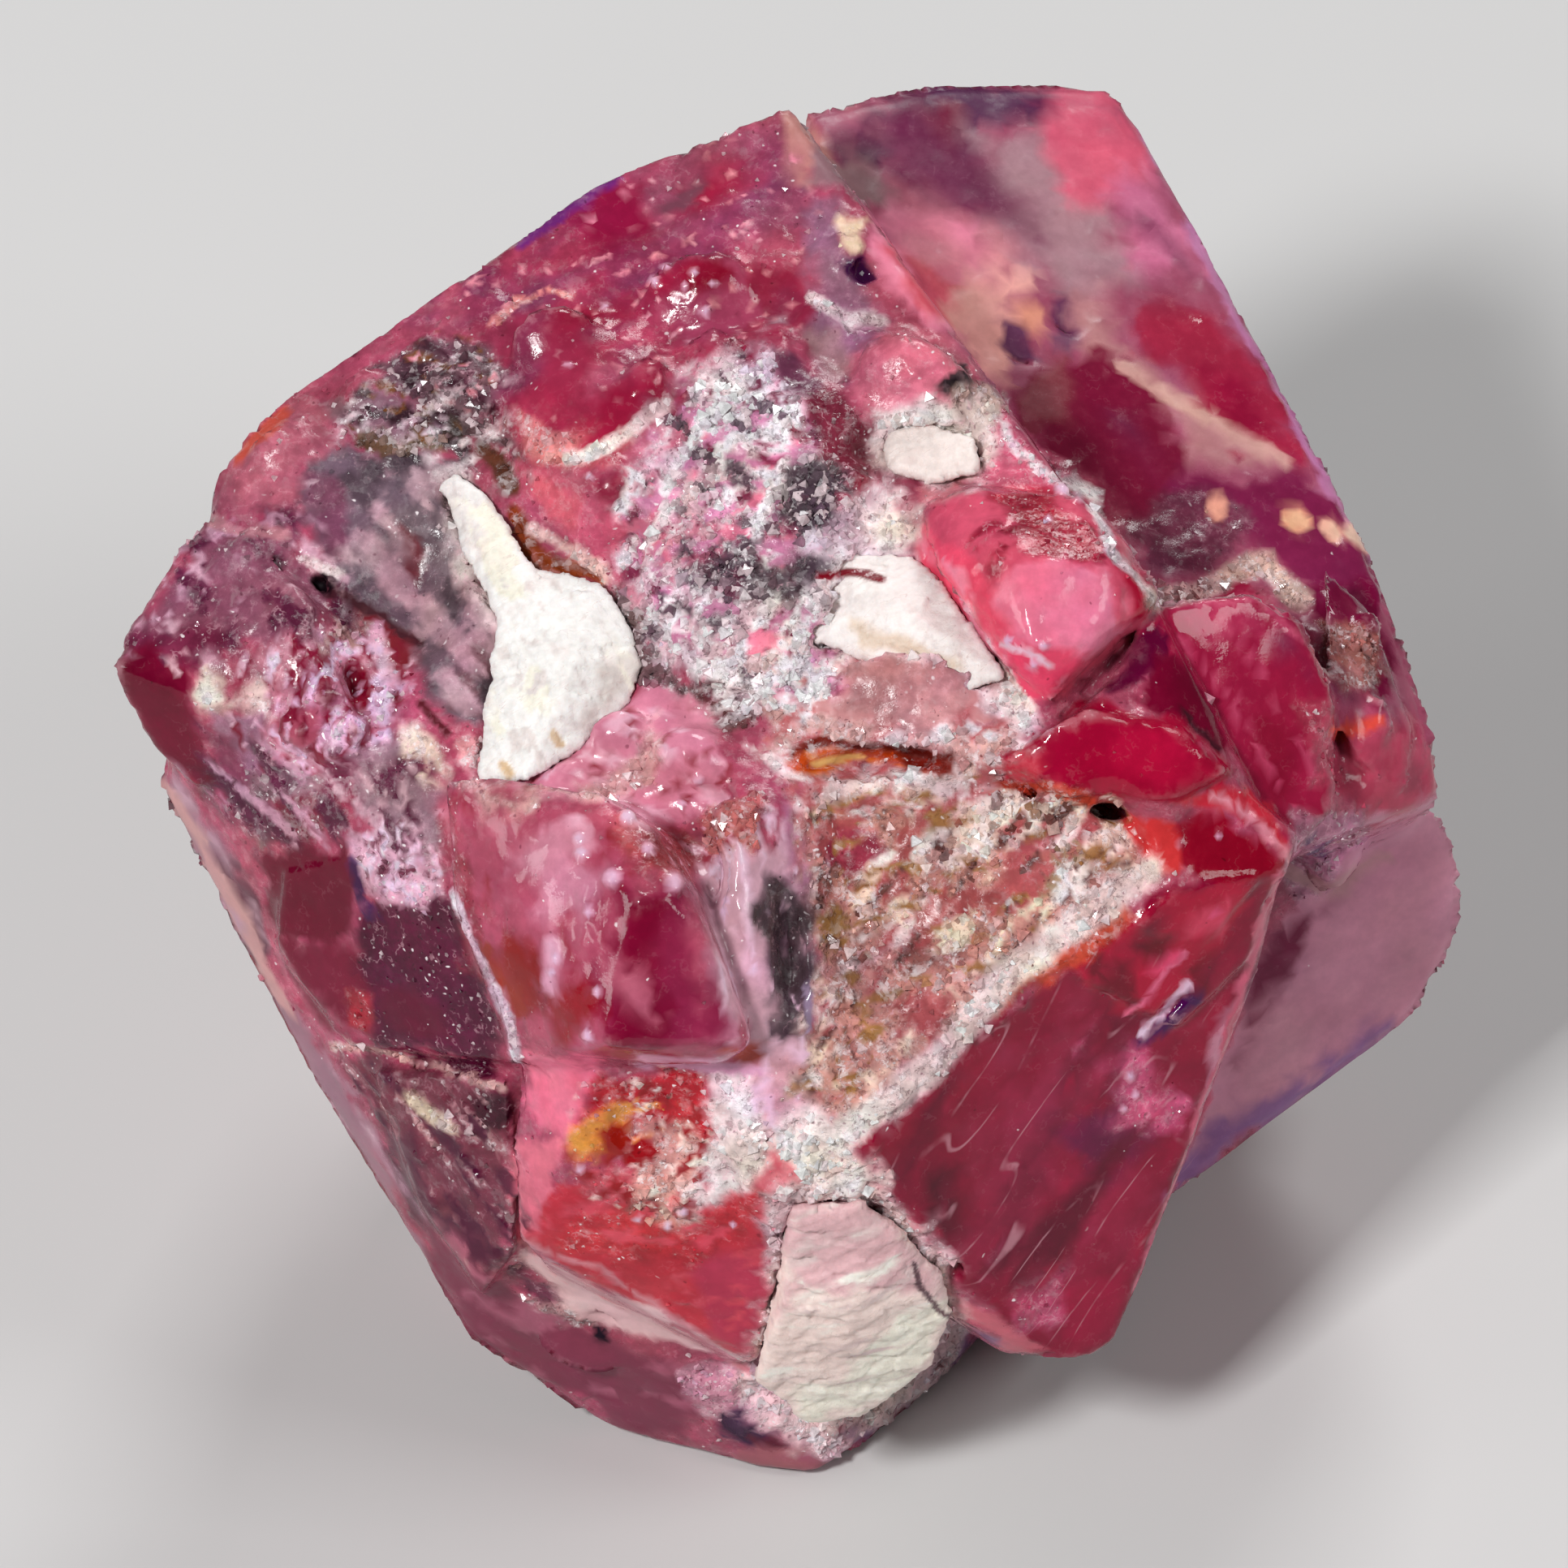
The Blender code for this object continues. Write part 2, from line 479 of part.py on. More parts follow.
CRUSTS = [
    # number of small crystals, their least and greatest reach, and the area they cover
    (34, 0.2, 0.46, [(-1.3, 4.5), (0.0, 4.9), (0.8, 4.0), (0.9, 2.4), (0.2, 0.8), (-1.0, 0.9),
                      (-1.5, 2.2)]),
    (20, 0.16, 0.36, [(0.3, -0.4), (3.9, -1.1), (0.7, -3.7), (0.4, -2.4)]),
    (8, 0.14, 0.26, [(-6.3, 1.7), (-5.4, 2.2), (-4.6, 1.3), (-4.7, 0.2), (-5.9, 0.3)]),
    (6, 0.14, 0.28, [(-4.9, 4.5), (-3.2, 5.2), (-3.0, 4.2), (-4.6, 3.7)]),
    (7, 0.14, 0.28, [(-4.4, -3.4), (-3.1, -3.5), (-3.1, -5.3), (-3.9, -4.6)]),
]

SEAM_START = (0.0, -4.3)      # the pale crust along the crimson crystal's ridge
SEAM_END = (4.1, -1.15)
SEAM_CRYSTALS = 16
SEAM_REACH = (0.42, 0.17)     # from its lower to its upper end
SEAM_WIDTH = 0.16

PITS = [
    # across, up, half length, half width, depth, turn
    (1.92, 4.35, 0.19, 0.08, 0.22, -15), (1.0, 5.65, 0.2, 0.24, 0.12, 0),
    (1.0, 0.18, 0.8, 0.2, 0.35, 5), (0.8, 2.2, 0.35, 0.06, 0.15, -5),
    (-2.95, 2.6, 0.38, 0.12, 0.3, -60), (-2.25, 2.3, 0.45, 0.1, 0.25, -25),
    (-4.7, 1.1, 0.15, 0.25, 0.3, 0), (-4.25, 1.0, 0.12, 0.2, 0.25, 0),
    (-5.1, 2.15, 0.16, 0.12, 0.2, -20), (4.3, -2.55, 0.38, 0.07, 0.3, 45),
    (-2.0, -6.05, 0.2, 0.16, 0.25, 0), (3.7, 3.05, 0.35, 0.2, 0.3, -40),
    (2.6, 4.85, 0.18, 0.4, 0.12, 35), (3.2, 5.15, 0.18, 0.35, 0.12, -10),
    (1.9, -5.5, 0.3, 0.1, 0.25, 60),
]

HOLLOWS = [
    # centre, radii and turn of the wide hollows
    ((-4.1, 2.35, 3.0), (1.15, 1.75, 1.8), -25),       # the grey hollow on the left
    ((-1.45, -3.95, 3.75), (0.95, 0.75, 1.2), 0),      # the oval hollow in the orange crystal
    ((0.13, -1.9, 3.9), (0.18, 0.85, 0.8), 4),         # the groove beside the rose crystal
]


def knobs(tree):
    made = []
    for across, up, length, width, height, turn in KNOBS:
        centre = surface_point(tree, across, up)
        detail = 2 if length > COARSE_BELOW else 1
        made.append(ellipsoid("knob", centre, (length, width, height), turn, detail))
    return made


def bubbles(tree):
    made = []
    for across, up, radius in BUBBLES:
        centre = surface_point(tree, across, up) - BUBBLE_SINK * radius * OUTWARD
        made.append(ellipsoid("bubble", centre, (radius, radius, radius), detail=1))
    return made


def is_inside(across, up, area):
    """Whether a place of the broad side lies in an area with these corners."""
    crossings = 0
    for (left, low), (right, high) in zip(area, area[1:] + area[:1]):
        if (low > up) != (high > up):
            share = (up - low) / (high - low)
            crossings += across < left + share * (right - left)
    return crossings % 2 == 1


def scattered_places(chance, number, least, greatest, area):
    """Places drawn evenly over an area, each with a crystal's reach."""
    places = []
    while len(places) < number:
        across = chance.uniform(min(corner[0] for corner in area), max(corner[0] for corner in area))
        up = chance.uniform(min(corner[1] for corner in area), max(corner[1] for corner in area))
        if is_inside(across, up, area):
            places.append((across, up, chance.uniform(least, greatest)))
    return places


def seam_places(chance):
    """Places along the crimson crystal's ridge."""
    places = []
    for number in range(SEAM_CRYSTALS):
        share = number / (SEAM_CRYSTALS - 1)
        across = SEAM_START[0] + share * (SEAM_END[0] - SEAM_START[0])
        up = SEAM_START[1] + share * (SEAM_END[1] - SEAM_START[1])
        reach = SEAM_REACH[0] + share * (SEAM_REACH[1] - SEAM_REACH[0])
        places.append((across + chance.uniform(-SEAM_WIDTH, SEAM_WIDTH),
                       up + chance.uniform(-SEAM_WIDTH, SEAM_WIDTH), reach))
    return places


def crust(tree):
    """The small crystals of every crust, each turned its own way."""
    chance = random.Random(SEED)
    places = seam_places(chance)
    for number, least, greatest, area in CRUSTS:
        places += scattered_places(chance, number, least, greatest, area)
    made = []
    for across, up, reach in places:
        centre = surface_point(tree, across, up) - CRUST_SINK * reach * OUTWARD
        turn = [chance.uniform(0, 90) for _axis in range(3)]
        made.append(octahedron("crust crystal", centre, reach, turn))
    return made


def pits(tree):
    made = []
    for across, up, length, width, depth, turn in PITS:
        centre = surface_point(tree, across, up)
        made.append(ellipsoid("pit", centre, (length, width, depth), turn))
    return made


def hollows():
    return [ellipsoid("hollow", centre, radii, turn, detail=3)
            for centre, radii, turn in HOLLOWS]


# ---------------------------------------------------------------- calcite

def saddle_shapes():
    """The white patch left of the middle: a narrow slanting top and a broad foot."""
    top = [(-3.74, 3.24, 1.15), (-3.55, 3.36, 1.15), (-3.2, 3.02, 1.4), (-2.95, 2.5, 1.75),
           (-2.7, 2.22, 1.95), (-2.9, 1.7, 2.05), (-3.15, 1.9, 1.9), (-3.5, 2.75, 1.45),
           (-3.2, 2.5, 1.75)]
    top_back = [(-3.4, 3.0, 0.5), (-2.9, 2.1, 0.9)]
    foot = [(-3.06, 1.8, 2.0), (-2.9, 2.3, 1.8), (-2.0, 2.15, 2.0), (-1.75, 1.8, 2.15),
            (-1.55, 1.2, 2.4), (-1.72, 0.82, 2.5), (-2.34, 0.27, 2.75), (-2.8, 0.02, 2.95),
            (-3.3, 0.0, 2.7), (-3.02, 0.8, 2.35), (-2.3, 1.2, 2.72)]
    foot_back = [(-2.7, 1.8, 0.9), (-1.9, 1.6, 1.1), (-2.6, 0.4, 1.4)]
    return [top + top_back, foot + foot_back]


def foot_shapes():
    """The white block low in the middle, between two crystals."""
    front = [(0.2, -4.75, 2.5), (0.9, -4.7, 2.5), (1.3, -5.0, 2.2), (1.7, -5.45, 1.6),
             (1.87, -5.85, 1.15), (1.6, -6.5, 0.45), (1.0, -6.95, -0.1), (0.35, -7.08, -0.2),
             (-0.2, -6.6, 0.5), (0.1, -5.75, 1.7), (0.85, -5.8, 1.85)]
    back = [(0.4, -5.0, 0.2), (1.5, -5.6, -0.4), (1.2, -6.6, -1.6), (0.3, -6.9, -1.7),
            (0.0, -6.2, -0.8)]
    return [front + back]


def pocket_shapes():
    """The white filling beside the coral crystal."""
    front = [(0.45, 2.45, 2.1), (1.45, 2.4, 2.25), (1.75, 2.15, 2.45), (2.1, 1.55, 2.75),
             (2.45, 1.15, 3.0), (2.1, 1.0, 2.95), (0.8, 1.4, 2.65), (0.35, 1.55, 2.5),
             (1.3, 1.9, 2.75)]
    back = [(0.8, 2.1, 1.2), (1.6, 1.9, 1.3), (1.9, 1.3, 1.6), (0.9, 1.6, 1.4)]
    return [front + back]


def nook_shapes():
    """The small white filling above it."""
    front = [(1.2, 3.45, 1.75), (1.25, 3.8, 1.55), (1.6, 3.9, 1.55), (2.15, 3.75, 1.75),
             (2.2, 3.4, 1.9), (1.7, 3.3, 1.9)]
    back = [(1.4, 3.6, 0.8), (2.0, 3.6, 0.9)]
    return [front + back]


CALCITE = [
    ("calcite_saddle", saddle_shapes),
    ("calcite_foot", foot_shapes),
    ("calcite_pocket", pocket_shapes),
    ("calcite_nook", nook_shapes),
]


def calcite_piece(name, shapes):
    """A calcite remnant, made of convex bodies joined together."""
    bodies = [crystal(name, points) for points in shapes()]
    first = bodies.pop(0)
    first.name = name
    if bodies:
        combine(first, bodies, 'UNION')
    return first


def grown_copy(piece, by):
    """The piece a little larger all round: the tool for the hollow that it fills."""
    shape = bmesh.new()
    shape.from_mesh(piece.data)
    shape.normal_update()
    moved = [(vert, vert.co + by * vert.calc_shell_factor() * vert.normal)
             for vert in shape.verts]
    for vert, place in moved:
        vert.co = place
    return add_object("bed of " + piece.name, shape)


# ---------------------------------------------------------------- finishing

def resting_cut():
    """A block over all that lies below the face that the stone rests on."""
    shape = bmesh.new()
    bmesh.ops.create_cube(shape, size=FAR)
    down = Vector((0.0, -math.cos(LEAN), -math.sin(LEAN)))
    turned = down.to_track_quat('Z', 'Y').to_matrix().to_4x4()
    shape.transform(Matrix.Translation(down * (BASE_DEPTH + FAR / 2)) @ turned)
    return add_object("resting cut", shape)


def broad_side_to_world():
    """From millimetres on the broad side to metres in the world."""
    sine, cosine = math.sin(LEAN), math.cos(LEAN)
    return Matrix((
        (MM, 0.0, 0.0, -CENTRE_ACROSS * MM),
        (0.0, sine * MM, -cosine * MM, -CENTRE_BACK * MM),
        (0.0, cosine * MM, sine * MM, BASE_DEPTH * MM),
        (0.0, 0.0, 0.0, 1.0),
    ))


def stone_material(name, colour, roughness, clearness):
    material = bpy.data.materials.new(name)
    material.use_nodes = True
    surface = material.node_tree.nodes["Principled BSDF"]
    surface.inputs["Base Color"].default_value = (*colour, 1.0)
    surface.inputs["Roughness"].default_value = roughness
    surface.inputs["Metallic"].default_value = 0.0
    surface.inputs["Transmission Weight"].default_value = clearness
    return material


def finish(piece, material):
    piece.data.materials.clear()
    piece.data.materials.append(material)
    piece.data.transform(broad_side_to_world())
    piece.data.update()


def large_crystals():
    """The crystals that make the stone, the first one the largest."""
    lower = [crimson_crystal(), orange_crystal(), rose_crystal(), middle_crystal(),
             plum_crystal(), dusky_crystal()]
    upper = [coral_crystal(), raspberry_crystal(), granular_mound()]
    right = [ruby_plate(), dark_facet(), ruby_slab(), ruby_wedge()]
    return ([main_crystal(), left_tip(), right_crystal(), pale_crystal(), back_crystal()]
            + lower + crimson_steps() + upper + right + upper_edge_crystals()
            + back_crystals())


def bare_surface():
    """The surface of the large crystals, on which the small forms sit."""
    bare, *others = large_crystals()
    combine(bare, others, 'UNION')
    tree = surface_tree(bare)
    bpy.data.objects.remove(bare, do_unlink=True)
    return tree


def spinel(calcite):
    """All the spinel, grown together into one solid."""
    tree = bare_surface()
    stone, *others = large_crystals()
    stone.name = "spinel_crystals"
    combine(stone, others + knobs(tree) + bubbles(tree) + crust(tree), 'UNION')
    beds = [grown_copy(piece, GAP) for piece in calcite]
    combine(stone, hollows() + pits(tree) + beds + [resting_cut()], 'DIFFERENCE')
    drop_crumbs(stone)
    return stone


def build():
    clear_scene()
    calcite = [calcite_piece(name, shapes) for name, shapes in CALCITE]
    stone = spinel(calcite)
    finish(stone, stone_material("spinel", *SPINEL_LOOKS))
    white = stone_material("calcite", *CALCITE_LOOKS)
    for piece in calcite:
        finish(piece, white)


build()
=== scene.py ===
"""The looks of the spinel crystal cluster.

Each crystal and calcite solid of the frame gets a fine surface of its own: the solid
is meshed anew in small steps, its relief is raised or sunk, and every point of it is
given a colour and a finish.  The broad side is painted in named patches, lines
and streaks.  Their places are pixels of the square reference photo, PHOTO_SIZE wide,
counted from its upper left corner, and a pixel is UNIT millimetres on the crystal.
"""
import math

import bmesh
import bpy
import numpy as np
from mathutils import Matrix, Vector


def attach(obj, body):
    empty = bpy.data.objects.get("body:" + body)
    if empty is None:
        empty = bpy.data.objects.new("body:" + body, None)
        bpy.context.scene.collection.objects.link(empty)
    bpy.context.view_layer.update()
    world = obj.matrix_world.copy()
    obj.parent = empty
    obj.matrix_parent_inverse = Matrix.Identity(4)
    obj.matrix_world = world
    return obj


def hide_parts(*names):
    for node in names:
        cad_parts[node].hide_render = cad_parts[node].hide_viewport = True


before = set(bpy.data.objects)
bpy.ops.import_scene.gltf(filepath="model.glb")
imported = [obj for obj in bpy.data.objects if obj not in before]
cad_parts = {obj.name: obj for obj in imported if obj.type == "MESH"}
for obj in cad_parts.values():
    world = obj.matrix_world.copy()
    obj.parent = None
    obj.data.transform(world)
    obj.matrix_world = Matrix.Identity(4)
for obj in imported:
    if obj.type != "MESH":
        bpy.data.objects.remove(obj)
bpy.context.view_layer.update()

MM = 0.001
UNIT = 0.009                 # mm, one pixel of the photo
PHOTO_SIZE = 1932
LEAN = math.radians(45.0)    # the broad side leans back this far
CENTRE_ACROSS = 0.1          # mm, the photo's middle in the row's frame
CENTRE_BACK = 1.6
CENTRE_UP = 7.0

VOXEL = 0.06                 # mm, the step of the spinel's new mesh
FRONT_FACES = 150000         # triangles kept on the broad side
BACK_FACES = 46000           # triangles kept on the rest
FRONT_LOOKS = 0.1            # how much of a front point's normal comes out of the broad side, at least
CALCITE_VOXEL = 0.035
CALCITE_FACES = 60000
GAP = 0.05                   # mm, between the calcite and the crystal around it

GRAIN = 0.15                 # mm, the size of the fine relief's grains
LUMP = 0.36                  # mm, the size of the coarse relief's lumps
EDGE_GAIN = 0.9              # how readily an edge counts as worn and gets a painted highlight, and a crease painted shade
WANDER = 6.0                 # photo pixels, how far the edges of crisp patches wander
STRAY = 15.0                 # photo pixels, how much further those of the others do
RAGGED = 1.3                 # of a patch's softness that its edge is frayed
CRISP = ("gem", "gloss", "chalk", "bubble")
CRISP_STREAK, SOFT_STREAK = 0.35, 0.9    # how gently streaks of either kind begin
BLURRED_FROM = 20            # photo pixels, the softness from which an area's streaks are soft
MELT_TIMES = 22              # how often a melted surface is evened out
CLEAR_GAIN = (1.2, -1.0, 0.1)    # how much brighter a clear stone's colour has to be
REDDEST = (0.93, 1.05)       # the most green and blue that a colour may have, against its red
MARBLE = ((0.24, 0.04), (0.32, 0.11), (0.28, 0.09))   # how far red, green and blue drift in light and in hue
STRIAE_TURN = 27.0           # degrees, from upright
CLEAVAGE_STEP = 0.11         # mm

SEED = 4563
GRAINS = 9000                # small crystals
GRAIN_REACH = (0.03, 0.11)   # mm
GRAIN_SINK = 0.3             # of a small crystal's reach that it sits in the surface
BACK_PLENTY = 0.35           # small crystals on the back and the sides, against the front

LAMPS = [
    # name, degrees around, degrees above, distance and size in m, power in W
    ("key", -35.0, 48.0, 0.34, 0.055, 0.82),
    ("fill", 72.0, 42.0, 0.34, 0.12, 0.30),
    ("rim", 165.0, 40.0, 0.34, 0.10, 0.45),
    ("low", -75.0, 15.0, 0.34, 0.08, 0.14),
]
WORLD_LIGHT = 0.08

CAMERA_DISTANCE = 0.6        # m
VIEW_WIDTH = 17.388          # mm
VIEW_MIDDLE = (0.054, -0.054, 0.0)


# ---------------------------------------------------------------- colours and finishes

def srgb(red, green, blue):
    """A colour given in 0 to 255 as light, in 0 to 1."""
    parts = [part / 255 for part in (red, green, blue)]
    return tuple(part / 12.92 if part <= 0.04045 else ((part + 0.055) / 1.055) ** 2.4
                 for part in parts)


FINISHES = {
    # roughness, clearness, sparkle; grain, lump and step in mm; how far it is melted, its frost
    "gem": (0.08, 0.22, 0.10, 0.000, 0.008, 0.015, 0.25, 0.00),
    "star": (0.10, 0.20, 0.55, 0.004, 0.010, 0.015, 0.40, 0.00),
    "gloss": (0.12, 0.15, 0.15, 0.003, 0.025, 0.010, 0.70, 0.00),
    "smooth": (0.34, 0.10, 0.03, 0.000, 0.012, 0.000, 1.00, 0.00),
    "wax": (0.22, 0.14, 0.35, 0.008, 0.030, 0.000, 1.00, 0.12),
    "speck": (0.18, 0.18, 0.60, 0.010, 0.015, 0.020, 0.40, 0.25),
    "grain": (0.28, 0.05, 1.00, 0.045, 0.060, 0.000, 0.60, 1.00),
    "crust": (0.42, 0.05, 0.80, 0.040, 0.055, 0.020, 0.40, 0.80),
    "bubble": (0.12, 0.20, 0.75, 0.020, 0.040, 0.000, 0.50, 0.45),
    "earth": (0.50, 0.00, 0.40, 0.030, 0.025, 0.000, 0.50, 0.50),
    "chalk": (0.60, 0.00, 0.20, 0.020, 0.025, 0.020, 0.30, 0.30),
    "hole": (0.60, 0.00, 0.00, 0.000, 0.000, 0.000, 0.00, 0.00),
}

# Patches of the broad side in the order in which they are laid on:
# name, colour, finish, softness of the edge in photo pixels, corners
PATCHES = [
    # the deeper crystal at the upper right
    ("right face", (160, 82, 106), "smooth", 20, [
        (960, 110), (1150, 80), (1380, 80), (1460, 200), (1600, 460), (1720, 640), (1800, 900), (1690, 980),
        (1620, 800), (1560, 730), (1430, 700), (1350, 600), (1220, 500), (1180, 430), (1080, 300),
        (1000, 200)]),
    ("right top shade", (92, 32, 72), "smooth", 14, [
        (1010, 160), (1060, 125), (1150, 100), (1290, 100), (1300, 150), (1205, 165), (1195, 275),
        (1150, 250),
        (1100, 200), (1030, 205)]),
    ("right top edge", (84, 24, 74), "smooth", 12, [
        (1140, 100), (1290, 100), (1295, 138), (1210, 150), (1150, 140)]),
    ("right wine", (124, 36, 66), "smooth", 12, [(1110, 130), (1180, 140), (1190, 190), (1140, 190)]),
    ("right ash", (170, 138, 142), "smooth", 22, [
        (1205, 170), (1290, 165), (1330, 240), (1400, 300), (1390, 350), (1300, 365), (1235, 310),
        (1208, 245)]),
    ("right coral", (214, 98, 122), "smooth", 22, [
        (1300, 95), (1375, 95), (1410, 180), (1395, 245), (1325, 245), (1290, 175)]),
    ("right pink rim", (204, 120, 150), "smooth", 18, [
        (1380, 215), (1440, 225), (1500, 330), (1430, 335), (1385, 290)]),
    ("right rose flow", (240, 150, 172), "smooth", 16, [
        (1080, 230), (1160, 240), (1210, 320), (1205, 400), (1150, 405), (1090, 335)]),
    ("right coral streak", (222, 98, 112), "smooth", 10, [(1110, 300), (1160, 320), (1190, 385),
        (1140, 380)]),
    ("right peach", (236, 180, 164), "smooth", 16, [
        (1205, 315), (1262, 340), (1250, 400), (1240, 445), (1195, 445), (1180, 385)]),
    ("right ochre", (222, 160, 130), "smooth", 6, [(1262, 360), (1290, 375), (1288, 405), (1262, 395)]),
    ("left petal", (108, 62, 96), "smooth", 6, [(1235, 388), (1268, 400), (1290, 445), (1250, 440),
        (1238, 410)]),
    ("right petal", (104, 52, 88), "smooth", 6, [
        (1295, 355), (1325, 360), (1340, 400), (1322, 440), (1302, 425), (1298, 390)]),
    ("right pale flow", (184, 136, 134), "smooth", 26, [
        (1330, 370), (1360, 360), (1368, 420), (1400, 450), (1470, 490), (1540, 530), (1592, 575),
        (1560, 585),
        (1490, 560), (1410, 510), (1350, 470), (1328, 420)]),
    ("right garnet", (124, 28, 60), "gem", 14, [
        (1262, 455), (1350, 440), (1420, 470), (1462, 520), (1445, 600), (1410, 645), (1350, 620),
        (1300, 565),
        (1262, 505)]),
    ("right russet", (136, 62, 70), "smooth", 12, [(1262, 455), (1318, 445), (1318, 515), (1280, 525)]),
    ("right red", (164, 50, 74), "gem", 14, [
        (1385, 375), (1490, 365), (1545, 430), (1600, 545), (1605, 575), (1540, 540), (1460, 475),
        (1400, 425)]),
    ("right cherry", (150, 24, 62), "gem", 10, [(1470, 450), (1530, 470), (1580, 545), (1520, 520)]),
    ("right plum", (124, 38, 78), "gem", 14, [
        (1480, 585), (1630, 590), (1700, 690), (1710, 800), (1640, 800), (1612, 720), (1540, 675),
        (1460, 640),
        (1450, 595)]),
    ("right dusk", (112, 58, 76), "wax", 10, [
        (1432, 605), (1500, 605), (1545, 645), (1505, 690), (1432, 690), (1400, 650)]),
    ("right wine strip", (114, 10, 58), "gem", 8, [
        (1602, 722), (1690, 712), (1722, 820), (1705, 880), (1660, 850), (1625, 780)]),
    ("right gold bits", (160, 92, 82), "grain", 6, [
        (1610, 768), (1650, 772), (1695, 795), (1702, 848), (1655, 850), (1628, 822)]),
    ("right mauve", (184, 80, 100), "gloss", 10, [
        (1642, 882), (1740, 880), (1785, 950), (1750, 1015), (1690, 1035), (1650, 970)]),
    # the main crystal's top
    ("top left red", (160, 62, 86), "wax", 14, [
        (560, 350), (640, 290), (740, 250), (830, 290), (960, 310), (1005, 390), (960, 440), (830, 470),
        (810, 520), (760, 560), (640, 590), (610, 500), (590, 410)]),
    ("top mauve", (156, 84, 104), "wax", 12, [
        (780, 225), (860, 180), (960, 140), (1000, 200), (1005, 290), (930, 292), (860, 290), (800, 300)]),
    ("raspberry block", (140, 24, 64), "gem", 10, [
        (690, 260), (750, 215), (785, 235), (802, 290), (772, 312), (720, 305)]),
    ("top peach bit", (196, 146, 132), "smooth", 8, [(960, 138), (1020, 140), (1022, 200), (995, 240),
        (962, 228)]),
    ("top ash bit", (150, 122, 122), "smooth", 8, [(1000, 190), (1070, 190), (1098, 230), (1050, 252),
        (1000, 232)]),
    ("top mauve lump", (150, 112, 130), "wax", 10, [
        (985, 250), (1030, 262), (1075, 350), (1095, 400), (1045, 462), (1005, 435), (985, 350)]),
    ("top dark dot", (60, 14, 74), "gem", 5, [(1032, 325), (1070, 312), (1082, 345), (1062, 362)]),
    ("top cream", (244, 214, 180), "chalk", 5, [(1030, 268), (1068, 266), (1070, 308), (1044, 316)]),
    ("top ash low", (166, 140, 136), "wax", 8, [(992, 402), (1050, 402), (1062, 450), (1012, 462)]),
    ("dome", (158, 56, 82), "gem", 10, [
        (625, 375), (690, 362), (730, 395), (735, 440), (700, 490), (650, 480), (625, 430)]),
    ("dome side", (200, 114, 134), "wax", 10, [(740, 445), (810, 455), (800, 520), (735, 520), (720, 480)]),
    ("knob", (160, 72, 98), "gloss", 8, [
        (800, 330), (830, 300), (880, 295), (930, 330), (935, 390), (900, 420), (850, 425), (808, 390)]),
    ("knob heart", (132, 10, 42), "gem", 8, [(825, 318), (880, 305), (915, 335), (900, 360), (845, 362)]),
    ("right lobe", (140, 42, 66), "gem", 8, [(930, 315), (975, 325), (1005, 385), (990, 402), (945, 385),
        (918, 350)]),
    ("coral flecks", (220, 136, 138), "grain", 8, [
        (635, 505), (690, 520), (760, 512), (800, 530), (765, 562), (700, 578), (640, 568)]),
    ("pink slope", (190, 94, 114), "wax", 8, [
        (628, 588), (720, 582), (795, 572), (805, 640), (785, 690), (740, 695), (690, 655), (645, 622)]),
    ("salmon slope", (202, 102, 112), "wax", 8, [(655, 600), (715, 602), (700, 650), (660, 640)]),
    ("little dome", (148, 44, 70), "gloss", 5, [(735, 580), (770, 578), (782, 600), (765, 622),
        (738, 615)]),
    ("rim grit", (108, 82, 88), "crust", 8, [
        (430, 470), (480, 430), (560, 405), (612, 415), (632, 520), (645, 575), (600, 562), (560, 520),
        (500, 492)]),
    ("rim olive", (122, 102, 82), "crust", 6, [
        (425, 505), (500, 505), (562, 530), (565, 562), (500, 548), (440, 542)]),
    ("rim ink", (56, 40, 36), "earth", 5, [(518, 500), (560, 515), (575, 552), (542, 542), (515, 522)]),
    ("rim ash", (142, 116, 122), "wax", 8, [(375, 498), (450, 480), (520, 500), (500, 530), (420, 522),
        (385, 515)]),
    # the grey hollow and the left
    ("hollow", (112, 104, 108), "wax", 10, [
        (385, 560), (500, 548), (562, 590), (605, 680), (645, 780), (625, 860), (565, 890), (512, 862),
        (500, 795), (420, 735), (385, 695), (372, 620)]),
    ("hollow light", (168, 148, 150), "wax", 8, [(440, 552), (520, 565), (565, 612), (520, 602),
        (450, 585)]),
    ("hollow wine", (114, 74, 90), "wax", 8, [(378, 600), (420, 600), (432, 680), (390, 690)]),
    ("hollow russet", (120, 60, 66), "wax", 4, [(500, 640), (526, 648), (522, 700), (502, 692)]),
    ("hollow pale", (176, 156, 156), "wax", 8, [(560, 660), (600, 690), (632, 765), (602, 760),
        (572, 705)]),
    ("hollow dusk", (118, 94, 96), "wax", 8, [(580, 772), (632, 790), (612, 862), (542, 872), (520, 835)]),
    ("salmon rim", (172, 100, 112), "wax", 8, [
        (255, 600), (300, 540), (350, 500), (402, 500), (420, 542), (372, 582), (368, 640), (300, 645),
        (255, 630)]),
    ("left mauve", (138, 90, 104), "wax", 10, [
        (190, 720), (255, 650), (360, 662), (392, 702), (402, 762), (330, 792), (250, 792), (150, 800)]),
    ("left wine", (112, 46, 72), "star", 10, [(150, 795), (230, 758), (300, 770), (290, 815), (200, 835)]),
    ("bubbles", (186, 142, 146), "bubble", 6, [
        (308, 800), (400, 778), (450, 788), (482, 788), (502, 868), (482, 902), (422, 912), (400, 950),
        (340, 942), (310, 880)]),
    ("bubble pit a", (124, 10, 40), "gem", 5, [(425, 825), (455, 820), (468, 858), (445, 882), (425, 862)]),
    ("bubble pit b", (112, 34, 54), "gem", 5, [(392, 800), (408, 795), (415, 862), (400, 872)]),
    ("bubble pit c", (174, 92, 106), "gloss", 5, [(342, 885), (385, 880), (390, 915), (350, 925)]),
    ("bubble rust", (118, 26, 34), "gem", 4, [(478, 820), (498, 825), (502, 868), (482, 870)]),
